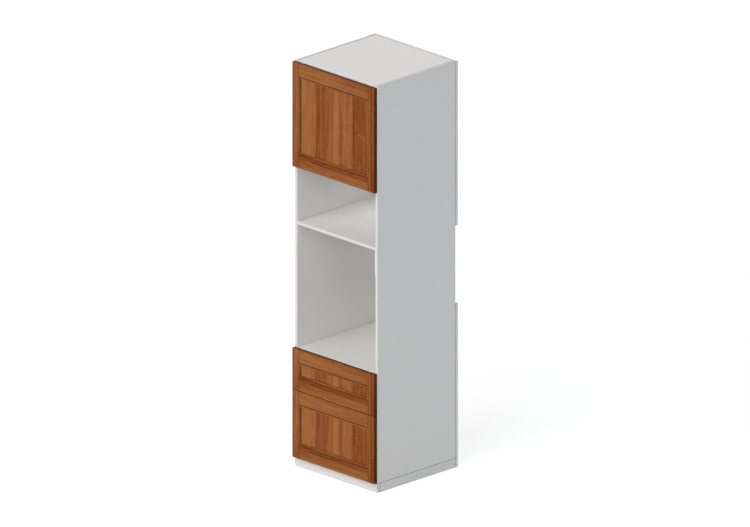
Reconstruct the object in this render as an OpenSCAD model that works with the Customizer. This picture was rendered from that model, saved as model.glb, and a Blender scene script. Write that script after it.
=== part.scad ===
// Tall oven housing unit: white board carcass on a box plinth, with two drawers under an open
// oven niche, an open microwave niche and a cupboard behind one framed wooden door.
// The origin is on the floor at the centre of the footprint. X runs to the right seen from the
// front, the front faces -Y, and Z is up. Sizes are in millimetres.

/* [Carcass] */
// Overall width
unit_w = 600; // [560:10:700]
// Depth of the side panels
side_d = 560; // [550:5:620]
// Thickness of the carcass boards
board_t = 16; // [15.5:0.5:19]
// Thickness of the two back panels
back_t = 18; // [12:1:22]
// Height of the plinth
plinth_h = 50; // [40:1:100]
// Thickness of the plinth boards
plinth_t = 18; // [14:1:22]
// Clear height of the oven niche
oven_niche_h = 664; // [590:1:720]
// Clear height of the microwave niche
micro_niche_h = 304; // [280:1:420]
// Height of the open gap in the back behind the oven
rear_gap_h = 424; // [200:1:560]

/* [Fronts] */
// Thickness of the door and drawer fronts
front_t = 20; // [19.5:0.5:22]
// Gap between the fronts and the carcass
front_gap = 2; // [2:0.1:3]
// Distance from a front's side edge to the cabinet's side
side_reveal = 1.5; // [1:0.1:2]
// Height of the door
door_h = 568; // [460:1:760]
// Distance from the door's top edge to the cabinet's top
door_top_reveal = 4; // [1:0.5:8]
// How far the door hangs below the cupboard floor
door_overhang = 2; // [0:0.5:10]
// Height of the shallow upper drawer front
upper_front_h = 224; // [200:1:280]
// Height of the deep lower drawer front
lower_front_h = 366; // [330:1:440]
// Gap between the two drawer fronts
drawer_gap = 3; // [2:0.5:5]
// Gap between the lower drawer front and the plinth
plinth_gap = 2; // [1:0.5:5]
// Distance from the upper drawer front's top edge to the oven shelf's top
shelf_reveal = 1; // [0:0.5:4]
// Flat width of a front's stiles
stile_w = 47; // [45:1:60]
// Flat width of a front's rails
rail_w = 72; // [55:1:80]
// Width of the sloped moulding inside the frame
bead_w = 12; // [8:0.5:14]
// Height of the moulding's slope
bead_drop = 4; // [3:0.5:5]
// Small step at the top of the moulding
bead_quirk = 1.2; // [0.8:0.1:1.6]
// Small step at the foot of the moulding
bead_lip = 1.3; // [0.8:0.1:1.6]
// Thickness of the framed panel
panel_t = 7; // [5:0.5:8]
// Depth of the groove that holds the framed panel
groove_d = 8; // [6:0.5:9]
// Chamfer on the fronts' outer edges
front_ease = 1.5; // [1.5:0.1:2]

/* [Hinges] */
// Diameter of the hinge cup
cup_d = 35; // [35:0.5:36]
// Depth of the hinge cup
cup_depth = 13; // [12.5:0.5:13.5]
// Wall of the hinge cup
cup_wall = 0.8; // [0.6:0.1:1]
// Distance from the door's edge to the hinge cup
cup_edge = 3; // [2.8:0.1:3.5]
// Distance from the door's edge to the pivot
pivot_in = 7; // [6.5:0.1:7]
// Distance from the door's rear face to the pivot
pivot_back = 9; // [8.5:0.1:9]
// Distance from the door's ends to the hinges
hinge_in = 100; // [80:1:120]
// Radius of the hinge pin
hinge_pin_r = 1.2; // [1:0.1:1.3]
// Thickness of the hinge mounting plate
hinge_plate_t = 3; // [3:0.1:3.5]

/* [Drawers] */
// Thickness of the drawer box boards
drawer_t = 15; // [12:1:16]
// Length of the drawer boxes
drawer_d = 500; // [450:5:510]
// Height of the upper drawer box
upper_box_h = 160; // [150:1:165]
// Height of the lower drawer box
lower_box_h = 290; // [285:1:300]
// Height of a drawer box's lower edge above its front's lower edge
box_rise = 29; // [24:1:34]
// Thickness of the drawer bottoms
drawer_bottom_t = 8; // [4:1:10]
// Depth of the groove that holds a drawer bottom
bottom_groove_d = 6; // [4:0.5:8]
// Height of a drawer bottom above its box's lower edge
bottom_rise = 12; // [10:1:16]
// Room between a drawer box and the side panel, which the runner fills
runner_room = 13; // [12.8:0.1:14]
// Length of the runners
runner_l = 500; // [450:5:510]
// Height of the runners above a drawer front's lower edge
runner_rise = 62; // [56:1:80]
// Height of the runner's cabinet member
runner_h = 45; // [42:0.5:46]
// Sheet thickness of the runners
runner_sheet = 1.2; // [1:0.1:1.5]
// Running gap between the runner members
runner_play = 0.6; // [0.5:0.1:0.9]

/* [Cupboard shelf] */
// Distance between the shelf holes
hole_pitch = 32; // [25:1:40]
// Diameter of the shelf holes
shelf_hole_d = 5; // [4:0.5:6]
// Hole that carries the shelf, counted from the lowest
shelf_hole_number = 4; // [1:1:6]
// Distance from the shelf's front edge to the carcass front
shelf_setback = 20; // [15:1:60]

/* [Fixings] */
// Distance from the carcass edges to the cam fittings
fixing_in = 50; // [45:1:60]
// Diameter of the wooden dowels
dowel_d = 8; // [6:1:8]
// Length of the wooden dowels
dowel_l = 34; // [30:1:36]
// Diameter of the cam locks
cam_d = 15; // [14:0.5:16]
// Height of the cam locks
cam_h = 12.6; // [12.2:0.1:13]
// Distance from a board's end to the cam's centre
cam_in = 34; // [32:1:36]
// Diameter of the long wood screws
screw_d = 4; // [3.5:0.5:4.5]
// Length of the long wood screws
screw_l = 50; // [45:1:52]
// Length of the drawer front screws
front_screw_l = 28; // [24:1:30]
// Diameter of the push latches
latch_d = 10; // [9:0.5:10.5]
// Length of the push latches
latch_l = 50; // [46:1:60]
// Diameter of the latch plungers
plunger_d = 6; // [5:0.5:6.5]
// Height of the door's push latch above the door's lower edge
door_latch_rise = 62; // [40:1:70]
// Distance from the cabinet's sides to the wall fixing holes
wall_hole_in = 50; // [45:1:100]
// Diameter of the wall fixing holes
wall_hole_d = 6; // [5:0.5:8]
// Leg length of the wall brackets
bracket_leg = 32; // [28:1:40]
// Width of the wall brackets
bracket_w = 40; // [30:1:50]
// Sheet thickness of the wall brackets
bracket_sheet = 2; // [1.5:0.5:3]

/* [Hidden] */

// Finishes
WOOD = "#96603a";
WOOD_DARK = "#7d4a2c";
BOARD = "#dcdad6";
STEEL = "#b4b7ba";
GREY_PLASTIC = "#8f9296";
BEECH = "#cdaa78";

// Clearances and small allowances
fit = 0.05;
slack = 0.5;
panel_play = 0.1;
over = 1;
fine = 48;

// Depths, from the front to the rear
unit_d = front_t + front_gap + side_d + back_t;
front_y = -unit_d / 2;
front_rear_y = front_y + front_t;
carcass_y = front_rear_y + front_gap;
carcass_rear_y = carcass_y + side_d;
rear_y = carcass_rear_y + back_t;

// Widths
inner_w = unit_w - 2 * board_t;
front_w = unit_w - 2 * side_reveal;

// Levels, from the floor up
lower_front_z = plinth_h + plinth_gap;
upper_front_z = lower_front_z + lower_front_h + drawer_gap;
oven_floor_z = upper_front_z + upper_front_h + shelf_reveal;
niche_shelf_z = oven_floor_z + oven_niche_h;
micro_floor_z = niche_shelf_z + board_t;
cupboard_floor_z = micro_floor_z + micro_niche_h;
cupboard_z = cupboard_floor_z + board_t;
door_z = cupboard_floor_z - door_overhang;
unit_h = door_z + door_h + door_top_reveal;
top_panel_z = unit_h - board_t;
board_levels = [plinth_h, oven_floor_z - board_t, niche_shelf_z, cupboard_floor_z, top_panel_z];

// Framed fronts: the groove lies behind the moulding
panel_face = bead_quirk + bead_drop + bead_lip;
groove_front = panel_face - panel_play;
groove_rear = panel_face + panel_t + panel_play;
stile_full = stile_w + bead_w;
rail_full = rail_w + bead_w;
panel_edge_play = 1;

// Fixings along the depth
cam_y = [carcass_y + fixing_in, carcass_rear_y - fixing_in];
dowel_offset = 32;
dowel_y = [carcass_y + fixing_in + dowel_offset, carcass_rear_y - fixing_in - dowel_offset];
dowel_in_side = 10;
bolt_in_side = 11;
bolt_neck_from = 24;
bolt_head_from = 31;
bolt_end = 36;
bolt_r = 3.5;
bolt_neck_r = 2.2;
bolt_slot_w = 8;
cam_slot_end = 3;
cam_pocket_h = cam_h + slack;

// Screws
screw_r = screw_d / 2;
screw_head_r = screw_d * 0.95;
screw_head_h = 2.4;
screw_tip_l = 5;
screw_tip_r = 0.5;
back_screw_in = 60;
back_screw_count = 4;

// Hinges: one upright pin at each hinge
hinge_x = -front_w / 2 + pivot_in;
hinge_y = front_rear_y - pivot_back;
hinge_levels = [door_z + hinge_in, door_z + door_h - hinge_in];
cup_r = cup_d / 2;
cup_x = -front_w / 2 + cup_edge + cup_r;
cup_ear_w = 18;
cup_ear_h = 60;
cup_ear_t = 1;
cup_ear_hole_spacing = 48;
cup_ear_hole_r = 1.9;
eye_r = 2.2;
eye_half_h = 4;
cheek_gap = 0.3;
cheek_half_w = 3;
cheek_end = 9.5;
finger_top = 0.2;
neck_t = 2.4;
arm_x = -inner_w / 2 + hinge_plate_t;
arm_t = 6;
arm_half_h = 8;
arm_front_in = 1;
arm_l = 66;
arm_slot_l = 16;
arm_slot_r = 2.5;
arm_slot_depth = 2;
system_in = 37;
plate_l = 50;
plate_half_h = 25;
plate_bar_half_h = 9;
plate_bar_l = 18;
plate_hole_z = 16;
plate_hole_r = 2.2;

// Shelf holes, between the two hinges
shelf_hole_depth = 10;
shelf_hole_r = shelf_hole_d / 2;
hole_row_y = [carcass_y + system_in, carcass_rear_y - system_in];
hole_start = hinge_levels[0] + plate_half_h + hole_pitch - shelf_hole_r;
hole_end = hinge_levels[1] - plate_half_h - 2 * shelf_hole_d;
hole_count = floor((hole_end - hole_start) / hole_pitch) + 1;
shelf_pin_z = hole_start + (min(shelf_hole_number, hole_count) - 1) * hole_pitch;
shelf_side_play = 1;
shelf_rear_play = 2;
pin_out = 9;
pin_collar_r = 4;
pin_collar_t = 0.9;
pin_pad_t = 2;
shelf_z = shelf_pin_z + shelf_hole_r;

// Push latches, in the front edge of the right side panel
latch_x = unit_w / 2 - board_t / 2;
latch_r = latch_d / 2;
plunger_r = plunger_d / 2;
plunger_gap = 0.3;
latch_end_wall = 4;
plunger_l = latch_l - latch_end_wall - 4;
door_latch_z = door_z + door_latch_rise;
upper_latch_z = upper_front_z + upper_front_h / 2;
lower_latch_z = lower_front_z + lower_front_h / 2;

// Drawer boxes
box_w = inner_w - 2 * runner_room;
box_inner_w = box_w - 2 * drawer_t;
box_y = front_rear_y;
bottom_play = 0.1;
front_screw_x = 0.37 * box_w;
front_screw_rise = rail_w - 16;
runner_y = carcass_y + 2;
runner_flange = 10;
middle_web = 4.5;
middle_end = 11;
drawer_member_from = 6.5;
middle_h = runner_h - 2 * runner_sheet - 2 * runner_play;
member_h = middle_h - 2 * runner_sheet - 2 * runner_play;

// Plinth and wall fixing
block_w = 40;
block_lift = 2;
block_counterbore_r = 5;
block_x = unit_w / 2 - plinth_t - block_w / 2;
wall_hole_x = unit_w / 2 - wall_hole_in;
block_y = [carcass_y + plinth_t + block_w / 2, carcass_rear_y - block_w / 2];
plinth_screw_z = plinth_h + board_t - 2 - screw_l;
wall_hole_z = top_panel_z - bracket_leg / 2 - bracket_sheet;

// ---- Shared shapes -------------------------------------------------------------------------

// A box given by its lowest and highest corners
module span(low, high) {
    translate(low)
        cube(high - low);
}

// A straight round bar along +X, +Y or +Z
module bar_x(r, l) {
    rotate([0, 90, 0])
        cylinder(r = r, h = l, $fn = fine);
}

module bar_y(r, l) {
    rotate([-90, 0, 0])
        cylinder(r = r, h = l, $fn = fine);
}

// A countersunk wood screw: its flat head is at z = 0 and its point is up
module wood_screw(l) {
    recess = [0.9, 1.3 * screw_head_r, 1.6];
    difference() {
        union() {
            cylinder(r1 = screw_head_r, r2 = screw_r, h = screw_head_h, $fn = fine);
            cylinder(r = screw_r, h = l - screw_tip_l, $fn = fine);
            translate([0, 0, l - screw_tip_l])
                cylinder(r1 = screw_r, r2 = screw_tip_r, h = screw_tip_l, $fn = fine);
        }
        for (turn = [0, 90])
            rotate([0, 0, turn])
                translate([-recess[0] / 2, -recess[1] / 2, -over])
                    cube(recess + [0, 0, over - 0.2]);
    }
}

// The hole for a wood screw, with its countersink
module screw_hole(l) {
    cylinder(r1 = screw_head_r + fit, r2 = screw_r + fit, h = screw_head_h, $fn = fine);
    translate([0, 0, -over])
        cylinder(r = screw_head_r + fit, h = over, $fn = fine);
    cylinder(r = screw_r + fit, h = l + slack, $fn = fine);
}

// ---- Carcass fixings -----------------------------------------------------------------------

// Puts its children at every end of every board, at the side panel's inner face, pointing in
module at_board_ends(ys, levels = board_levels) {
    for (side = [-1, 1])
        for (z = levels)
            for (y = ys)
                translate([side * inner_w / 2, y, z + board_t / 2])
                    rotate([0, 0, side < 0 ? 0 : 180])
                        children();
}

module dowel_hole() {
    translate([-dowel_in_side - slack, 0, 0])
        bar_x(dowel_d / 2 + fit, dowel_l + 2 * slack);
}

module bolt_hole() {
    translate([-bolt_in_side - slack, 0, 0])
        bar_x(bolt_r + fit, bolt_in_side + slack + cam_in);
}

module cam_pocket() {
    translate([cam_in, 0, -board_t / 2 - over])
        cylinder(r = cam_d / 2 + fit, h = cam_pocket_h + over, $fn = fine);
}

module fixing_holes(levels) {
    at_board_ends(dowel_y, levels)
        dowel_hole();
    at_board_ends(cam_y, levels)
        bolt_hole();
}

module dowels() {
    color(BEECH)
        at_board_ends(dowel_y)
            translate([-dowel_in_side, 0, 0])
                bar_x(dowel_d / 2, dowel_l);
}

module cam_bolts() {
    color(STEEL)
        at_board_ends(cam_y) {
            translate([-bolt_in_side, 0, 0])
                bar_x(bolt_r, bolt_in_side + bolt_neck_from);
            bar_x(bolt_neck_r, bolt_end);
            translate([bolt_head_from, 0, 0])
                bar_x(bolt_r - fit, bolt_end - bolt_head_from);
        }
}

module cam_locks() {
    slot_from = -cam_d / 2 - over;
    driver = [1.6, 9, 2.5];
    color(STEEL)
        at_board_ends(cam_y)
            translate([cam_in, 0, -board_t / 2])
                difference() {
                    cylinder(r = cam_d / 2, h = cam_h, $fn = fine);
                    span([slot_from, -bolt_slot_w / 2, board_t / 2 - bolt_slot_w / 2],
                        [cam_slot_end, bolt_slot_w / 2, board_t / 2 + bolt_slot_w / 2]);
                    for (turn = [0, 90])
                        rotate([0, 0, turn])
                            translate([-driver[0] / 2, -driver[1] / 2, -over])
                                cube(driver);
                }
}

// Heights of the screws in one back panel's edge
function screw_levels(low, high) = [
    for (i = [0 : back_screw_count - 1])
        low + back_screw_in + i * (high - low - 2 * back_screw_in) / (back_screw_count - 1)
];

back_lower_top = niche_shelf_z - rear_gap_h;
back_screw_levels = concat(
    screw_levels(plinth_h, back_lower_top),
    screw_levels(niche_shelf_z, unit_h));

// Puts its children at each back screw's head, pointing to the front
module at_back_screws() {
    for (side = [-1, 1])
        for (z = back_screw_levels)
            translate([side * (unit_w - board_t) / 2, rear_y, z])
                rotate([90, 0, 0])
                    children();
}

module at_plinth_screws() {
    for (side = [-1, 1])
        for (y = block_y)
            translate([side * block_x, y, plinth_screw_z])
                children();
}

module carcass_screws() {
    color(STEEL) {
        at_back_screws()
            wood_screw(screw_l);
        at_plinth_screws()
            wood_screw(screw_l);
    }
}

// ---- Carcass boards ------------------------------------------------------------------------

module shelf_holes() {
    for (y = hole_row_y)
        for (i = [0 : hole_count - 1])
            translate([-inner_w / 2 - shelf_hole_depth, y, hole_start + i * hole_pitch])
                bar_x(shelf_hole_r + fit, shelf_hole_depth + over);
}

// Both side panels are alike but for the push latches' bores
module side_panel(side) {
    difference() {
        translate([side < 0 ? -unit_w / 2 : inner_w / 2, carcass_y, plinth_h])
            cube([board_t, side_d, unit_h - plinth_h]);
        fixing_holes(board_levels);
        at_back_screws()
            screw_hole(screw_l);
        mirror([side < 0 ? 0 : 1, 0, 0])
            shelf_holes();
        if (side > 0)
            at_latches()
                bar_y(latch_r + fit, latch_l + slack);
    }
}

module side_panel_left() {
    color(BOARD)
        side_panel(-1);
}

module side_panel_right() {
    color(BOARD)
        side_panel(1);
}

// A fixed board between the side panels
module cross_board(z) {
    difference() {
        translate([-inner_w / 2, carcass_y, z])
            cube([inner_w, side_d, board_t]);
        fixing_holes([z]);
        at_board_ends(cam_y, [z])
            cam_pocket();
    }
}

module top_panel() {
    color(BOARD)
        cross_board(top_panel_z);
}

module cupboard_floor() {
    color(BOARD)
        cross_board(cupboard_floor_z);
}

module niche_shelf() {
    color(BOARD)
        cross_board(niche_shelf_z);
}

module oven_shelf() {
    color(BOARD)
        cross_board(oven_floor_z - board_t);
}

module bottom_panel() {
    color(BOARD)
        difference() {
            cross_board(plinth_h);
            at_plinth_screws()
                cylinder(r = screw_r + fit, h = screw_l + slack, $fn = fine);
        }
}

module back_panel(low, high) {
    difference() {
        translate([-unit_w / 2, carcass_rear_y, low])
            cube([unit_w, back_t, high - low]);
        at_back_screws()
            screw_hole(screw_l);
        for (side = [-1, 1])
            translate([side * wall_hole_x, carcass_rear_y - over, wall_hole_z])
                bar_y(wall_hole_d / 2, back_t + 2 * over);
    }
}

module back_panel_upper() {
    color(BOARD)
        back_panel(niche_shelf_z, unit_h);
}

module back_panel_lower() {
    color(BOARD)
        back_panel(plinth_h, back_lower_top);
}

// ---- Cupboard shelf ------------------------------------------------------------------------

module adjustable_shelf() {
    color(BOARD)
        span([-inner_w / 2 + shelf_side_play, carcass_y + shelf_setback, shelf_z],
            [inner_w / 2 - shelf_side_play, carcass_rear_y - shelf_rear_play, shelf_z + board_t]);
}

module shelf_pins() {
    color(STEEL)
        for (side = [-1, 1])
            for (y = hole_row_y)
                translate([side * inner_w / 2, y, shelf_pin_z])
                    rotate([0, 0, side < 0 ? 0 : 180]) {
                        translate([-shelf_hole_depth + slack, 0, 0])
                            bar_x(shelf_hole_r, shelf_hole_depth - slack + pin_out);
                        intersection() {
                            bar_x(pin_collar_r, pin_collar_t);
                            span([0, -pin_collar_r, -pin_collar_r],
                                [pin_collar_t, pin_collar_r, shelf_hole_r]);
                        }
                        translate([0, -pin_collar_r, shelf_hole_r - pin_pad_t])
                            cube([pin_out, 2 * pin_collar_r, pin_pad_t]);
                    }
}

// ---- Plinth --------------------------------------------------------------------------------

module plinth_front() {
    color(BOARD)
        translate([-unit_w / 2, carcass_y, 0])
            cube([unit_w, plinth_t, plinth_h]);
}

// The rear plinth board lies under the back panel, as thick as it
module plinth_rear() {
    color(BOARD)
        translate([-unit_w / 2, carcass_rear_y, 0])
            cube([unit_w, back_t, plinth_h]);
}

module plinth_side(side) {
    translate([side < 0 ? -unit_w / 2 : unit_w / 2 - plinth_t, carcass_y + plinth_t, 0])
        cube([plinth_t, side_d - plinth_t, plinth_h]);
}

module plinth_side_left() {
    color(BOARD)
        plinth_side(-1);
}

module plinth_side_right() {
    color(BOARD)
        plinth_side(1);
}

module plinth_corner_blocks() {
    counterbore_h = plinth_screw_z - block_lift;
    color(BEECH)
        for (side = [-1, 1])
            for (y = block_y)
                translate([side * block_x, y, block_lift])
                    difference() {
                        translate([-block_w / 2, -block_w / 2, 0])
                            cube([block_w, block_w, plinth_h - block_lift]);
                        translate([0, 0, -over])
                            cylinder(r = block_counterbore_r, h = counterbore_h + over, $fn = fine);
                        translate([0, 0, counterbore_h])
                            screw_hole(screw_l);
                    }
}

// ---- Wall brackets -------------------------------------------------------------------------

// Steel angles in the cupboard's top rear corners, over the wall fixing holes
module wall_brackets() {
    color(STEEL)
        for (side = [-1, 1])
            translate([side * wall_hole_x, carcass_rear_y, top_panel_z])
                difference() {
                    union() {
                        translate([-bracket_w / 2, -bracket_sheet, -bracket_leg])
                            cube([bracket_w, bracket_sheet, bracket_leg]);
                        translate([-bracket_w / 2, -bracket_leg, -bracket_sheet])
                            cube([bracket_w, bracket_leg, bracket_sheet]);
                    }
                    translate([0, -bracket_sheet - over, wall_hole_z - top_panel_z])
                        bar_y(wall_hole_d / 2, bracket_sheet + 2 * over);
                }
}

// ---- Framed fronts -------------------------------------------------------------------------

// Section of a stile or rail: x runs from the outer edge to the panel, y from the face back
module frame_section(flat_w) {
    full_w = flat_w + bead_w;
    polygon([
        [0, front_ease / 2],
        [front_ease / 2, 0],
        [flat_w, 0],
        [flat_w, bead_quirk],
        [full_w, bead_quirk + bead_drop],
        [full_w, groove_front],
        [full_w - groove_d, groove_front],
        [full_w - groove_d, groove_rear],
        [full_w, groove_rear],
        [full_w, front_t],
        [front_ease, front_t],
        [0, front_t - front_ease]
    ]);
}

module front_stile(side, z, h) {
    mirror([side < 0 ? 0 : 1, 0, 0])
        translate([-front_w / 2, front_y, z])
            linear_extrude(h)
                frame_section(stile_w);
}

// A rail lies between the stiles, and its ends are cut to fit over their moulding
module front_rail(top, z, h) {
    difference() {
        translate([0, front_y, top ? z + h : z])
            mirror([0, 0, top ? 1 : 0])
                rotate([0, -90, 0])
                    linear_extrude(front_w - 2 * stile_w, center = true)
                        frame_section(rail_w);
        front_stile(-1, z - over, h + 2 * over);
        front_stile(1, z - over, h + 2 * over);
    }
}

module front_panel(z, h) {
    edge_x = front_w / 2 - stile_full + groove_d - panel_edge_play;
    edge_z = rail_full - groove_d + panel_edge_play;
    span([-edge_x, front_y + panel_face, z + edge_z],
        [edge_x, front_y + panel_face + panel_t, z + h - edge_z]);
}

module door_stile_left() {
    color(WOOD)
        difference() {
            front_stile(-1, door_z, door_h);
            for (z = hinge_levels)
                translate([cup_x, front_rear_y - cup_depth - fit, z])
                    bar_y(cup_r + fit, cup_depth + over);
        }
}

module door_stile_right() {
    color(WOOD)
        front_stile(1, door_z, door_h);
}

module door_rail_top() {
    color(WOOD_DARK)
        front_rail(true, door_z, door_h);
}

module door_rail_bottom() {
    color(WOOD_DARK)
        front_rail(false, door_z, door_h);
}

module door_panel() {
    color(WOOD)
        front_panel(door_z, door_h);
}

// ---- Hinges --------------------------------------------------------------------------------

module hinge_plates() {
    plate_y = carcass_y + system_in;
    color(STEEL)
        for (z = hinge_levels)
            translate([-inner_w / 2, plate_y, z])
                difference() {
                    union() {
                        translate([0, -plate_l / 2, -plate_bar_half_h])
                            cube([hinge_plate_t, plate_l, 2 * plate_bar_half_h]);
                        translate([0, -plate_bar_l / 2, -plate_half_h])
                            cube([hinge_plate_t, plate_bar_l, 2 * plate_half_h]);
                    }
                    for (end = [-1, 1])
                        translate([-over, 0, end * plate_hole_z])
                            bar_x(plate_hole_r, hinge_plate_t + 2 * over);
                }
}

// Each arm holds its riveted pin; its finger reaches the pivot through the cup's mouth
module hinge_arms() {
    neck_x = arm_x - hinge_x;
    neck_end = carcass_y + arm_front_in - hinge_y;
    color(STEEL)
        for (z = hinge_levels)
            translate([hinge_x, hinge_y, z]) {
                translate([0, 0, -eye_half_h])
                    cylinder(r = eye_r, h = 2 * eye_half_h, $fn = fine);
                translate([0, 0, -cheek_end])
                    cylinder(r = hinge_pin_r, h = 2 * cheek_end, $fn = fine);
                span([0, -eye_r, -eye_half_h], [neck_x + neck_t, finger_top, eye_half_h]);
                span([neck_x, -eye_r, -eye_half_h], [neck_x + neck_t, neck_end + over, eye_half_h]);
                difference() {
                    span([neck_x, neck_end, -arm_half_h],
                        [neck_x + arm_t, neck_end + arm_l, arm_half_h]);
                    for (part = [0.3, 0.75])
                        translate([neck_x + arm_t - arm_slot_depth, neck_end + part * arm_l, 0])
                            bar_x(arm_slot_r, arm_slot_depth + over);
                }
            }
}

// Each cup turns on its hinge pin in two cheeks
module hinge_cups() {
    floor_y = front_rear_y - cup_depth;
    inner_r = cup_r - cup_wall;
    color(STEEL)
        for (z = hinge_levels)
            translate([0, 0, z])
                difference() {
                    union() {
                        difference() {
                            union() {
                                translate([cup_x, floor_y, 0])
                                    bar_y(cup_r, cup_depth);
                                span([cup_x - cup_ear_w / 2, front_rear_y, -cup_ear_h / 2],
                                    [cup_x + cup_ear_w / 2, front_rear_y + cup_ear_t, cup_ear_h / 2]);
                            }
                            translate([cup_x, floor_y + cup_wall, 0])
                                bar_y(inner_r, cup_depth + cup_ear_t);
                        }
                        intersection() {
                            translate([cup_x, floor_y, 0])
                                bar_y(cup_r, cup_depth);
                            for (end = [-1, 1])
                                mirror([0, 0, end < 0 ? 1 : 0])
                                    span([hinge_x - cup_r, floor_y, eye_half_h + cheek_gap],
                                        [hinge_x + cheek_half_w, hinge_y + cheek_half_w, cheek_end + 0.6]);
                        }
                    }
                    translate([hinge_x, hinge_y, -cheek_end - cheek_gap])
                        cylinder(r = hinge_pin_r + fit, h = 2 * (cheek_end + cheek_gap), $fn = fine);
                    for (end = [-1, 1])
                        translate([cup_x, front_rear_y - over, end * cup_ear_hole_spacing / 2])
                            bar_y(cup_ear_hole_r, cup_ear_t + 2 * over);
                }
}

// ---- Push latches --------------------------------------------------------------------------

module at_latches() {
    for (z = [door_latch_z, upper_latch_z, lower_latch_z])
        translate([latch_x, carcass_y, z])
            children();
}

module latch_housings() {
    color(GREY_PLASTIC)
        at_latches()
            difference() {
                bar_y(latch_r, latch_l);
                translate([0, -over, 0])
                    bar_y(plunger_r + fit, latch_l - latch_end_wall + over);
            }
}

module plunger(z) {
    color(GREY_PLASTIC)
        translate([latch_x, front_rear_y + plunger_gap, z])
            bar_y(plunger_r, plunger_l);
}

module door_plunger() {
    plunger(door_latch_z);
}

module upper_plunger() {
    plunger(upper_latch_z);
}

module lower_plunger() {
    plunger(lower_latch_z);
}

// ---- Drawer runners ------------------------------------------------------------------------

function runner_z(front_z) = front_z + runner_rise;

// A channel along Y: a web and two flanges, with s counted from the side panel's inner face
module channel(web_from, flange_from, flange_to, h) {
    for (side = [-1, 1])
        mirror([side < 0 ? 0 : 1, 0, 0])
            translate([-inner_w / 2, runner_y, 0]) {
                translate([web_from, 0, -h / 2])
                    cube([runner_sheet, runner_l, h]);
                for (end = [-1, 1])
                    mirror([0, 0, end < 0 ? 1 : 0])
                        translate([flange_from, 0, h / 2 - runner_sheet])
                            cube([flange_to - flange_from, runner_l, runner_sheet]);
            }
}

module runner_cabinet_members() {
    color(STEEL)
        for (z = [runner_z(upper_front_z), runner_z(lower_front_z)])
            translate([0, 0, z])
                channel(0, 0, runner_flange, runner_h);
}

module middle_members(front_z) {
    color(STEEL)
        translate([0, 0, runner_z(front_z)])
            channel(middle_web, middle_web, middle_end, middle_h);
}

module drawer_members(front_z) {
    color(STEEL)
        translate([0, 0, runner_z(front_z)])
            channel(runner_room - runner_sheet, drawer_member_from, runner_room, member_h);
}

module upper_middle_members() {
    middle_members(upper_front_z);
}

module lower_middle_members() {
    middle_members(lower_front_z);
}

module upper_drawer_members() {
    drawer_members(upper_front_z);
}

module lower_drawer_members() {
    drawer_members(lower_front_z);
}

// ---- Drawers -------------------------------------------------------------------------------

// The drawer bottom's space in the box, grown by its play
module bottom_space(front_z, play) {
    edge_x = box_inner_w / 2 + bottom_groove_d - bottom_play + play;
    low_z = front_z + box_rise + bottom_rise;
    span([-edge_x, box_y + drawer_t - bottom_groove_d + bottom_play - play, low_z - play],
        [edge_x, box_y + drawer_d - drawer_t + bottom_groove_d - bottom_play + play,
            low_z + drawer_bottom_t + play]);
}

module box_side(side, front_z, h) {
    color(BOARD)
        difference() {
            translate([side < 0 ? -box_w / 2 : box_w / 2 - drawer_t, box_y, front_z + box_rise])
                cube([drawer_t, drawer_d, h]);
            bottom_space(front_z, bottom_play);
        }
}

// A cross board between the box sides, at y
module box_cross(y, front_z, h) {
    translate([-box_inner_w / 2, y, front_z + box_rise])
        cube([box_inner_w, drawer_t, h]);
}

// Puts its children at each front screw's head, pointing to the front
module at_front_screws(front_z, front_h) {
    for (x = [-front_screw_x, front_screw_x])
        for (z = [front_z + front_screw_rise, front_z + front_h - front_screw_rise])
            translate([x, box_y + drawer_t, z])
                rotate([90, 0, 0])
                    children();
}

module box_front(front_z, front_h, h) {
    color(BOARD)
        difference() {
            box_cross(box_y, front_z, h);
            bottom_space(front_z, bottom_play);
            at_front_screws(front_z, front_h)
                screw_hole(front_screw_l);
        }
}

module box_back(front_z, h) {
    color(BOARD)
        difference() {
            box_cross(box_y + drawer_d - drawer_t, front_z, h);
            bottom_space(front_z, bottom_play);
        }
}

module drawer_rail(top, front_z, front_h) {
    color(WOOD_DARK)
        difference() {
            front_rail(top, front_z, front_h);
            at_front_screws(front_z, front_h)
                screw_hole(front_screw_l);
        }
}

module upper_front_stile_left() {
    color(WOOD)
        front_stile(-1, upper_front_z, upper_front_h);
}

module upper_front_stile_right() {
    color(WOOD)
        front_stile(1, upper_front_z, upper_front_h);
}

module upper_front_rail_top() {
    drawer_rail(true, upper_front_z, upper_front_h);
}

module upper_front_rail_bottom() {
    drawer_rail(false, upper_front_z, upper_front_h);
}

module upper_front_panel() {
    color(WOOD)
        front_panel(upper_front_z, upper_front_h);
}

module upper_box_side_left() {
    box_side(-1, upper_front_z, upper_box_h);
}

module upper_box_side_right() {
    box_side(1, upper_front_z, upper_box_h);
}

module upper_box_front() {
    box_front(upper_front_z, upper_front_h, upper_box_h);
}

module upper_box_back() {
    box_back(upper_front_z, upper_box_h);
}

module upper_box_bottom() {
    color(BOARD)
        bottom_space(upper_front_z, 0);
}

module upper_front_screws() {
    color(STEEL)
        at_front_screws(upper_front_z, upper_front_h)
            wood_screw(front_screw_l);
}

module lower_front_stile_left() {
    color(WOOD)
        front_stile(-1, lower_front_z, lower_front_h);
}

module lower_front_stile_right() {
    color(WOOD)
        front_stile(1, lower_front_z, lower_front_h);
}

module lower_front_rail_top() {
    drawer_rail(true, lower_front_z, lower_front_h);
}

module lower_front_rail_bottom() {
    drawer_rail(false, lower_front_z, lower_front_h);
}

module lower_front_panel() {
    color(WOOD)
        front_panel(lower_front_z, lower_front_h);
}

module lower_box_side_left() {
    box_side(-1, lower_front_z, lower_box_h);
}

module lower_box_side_right() {
    box_side(1, lower_front_z, lower_box_h);
}

module lower_box_front() {
    box_front(lower_front_z, lower_front_h, lower_box_h);
}

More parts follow.
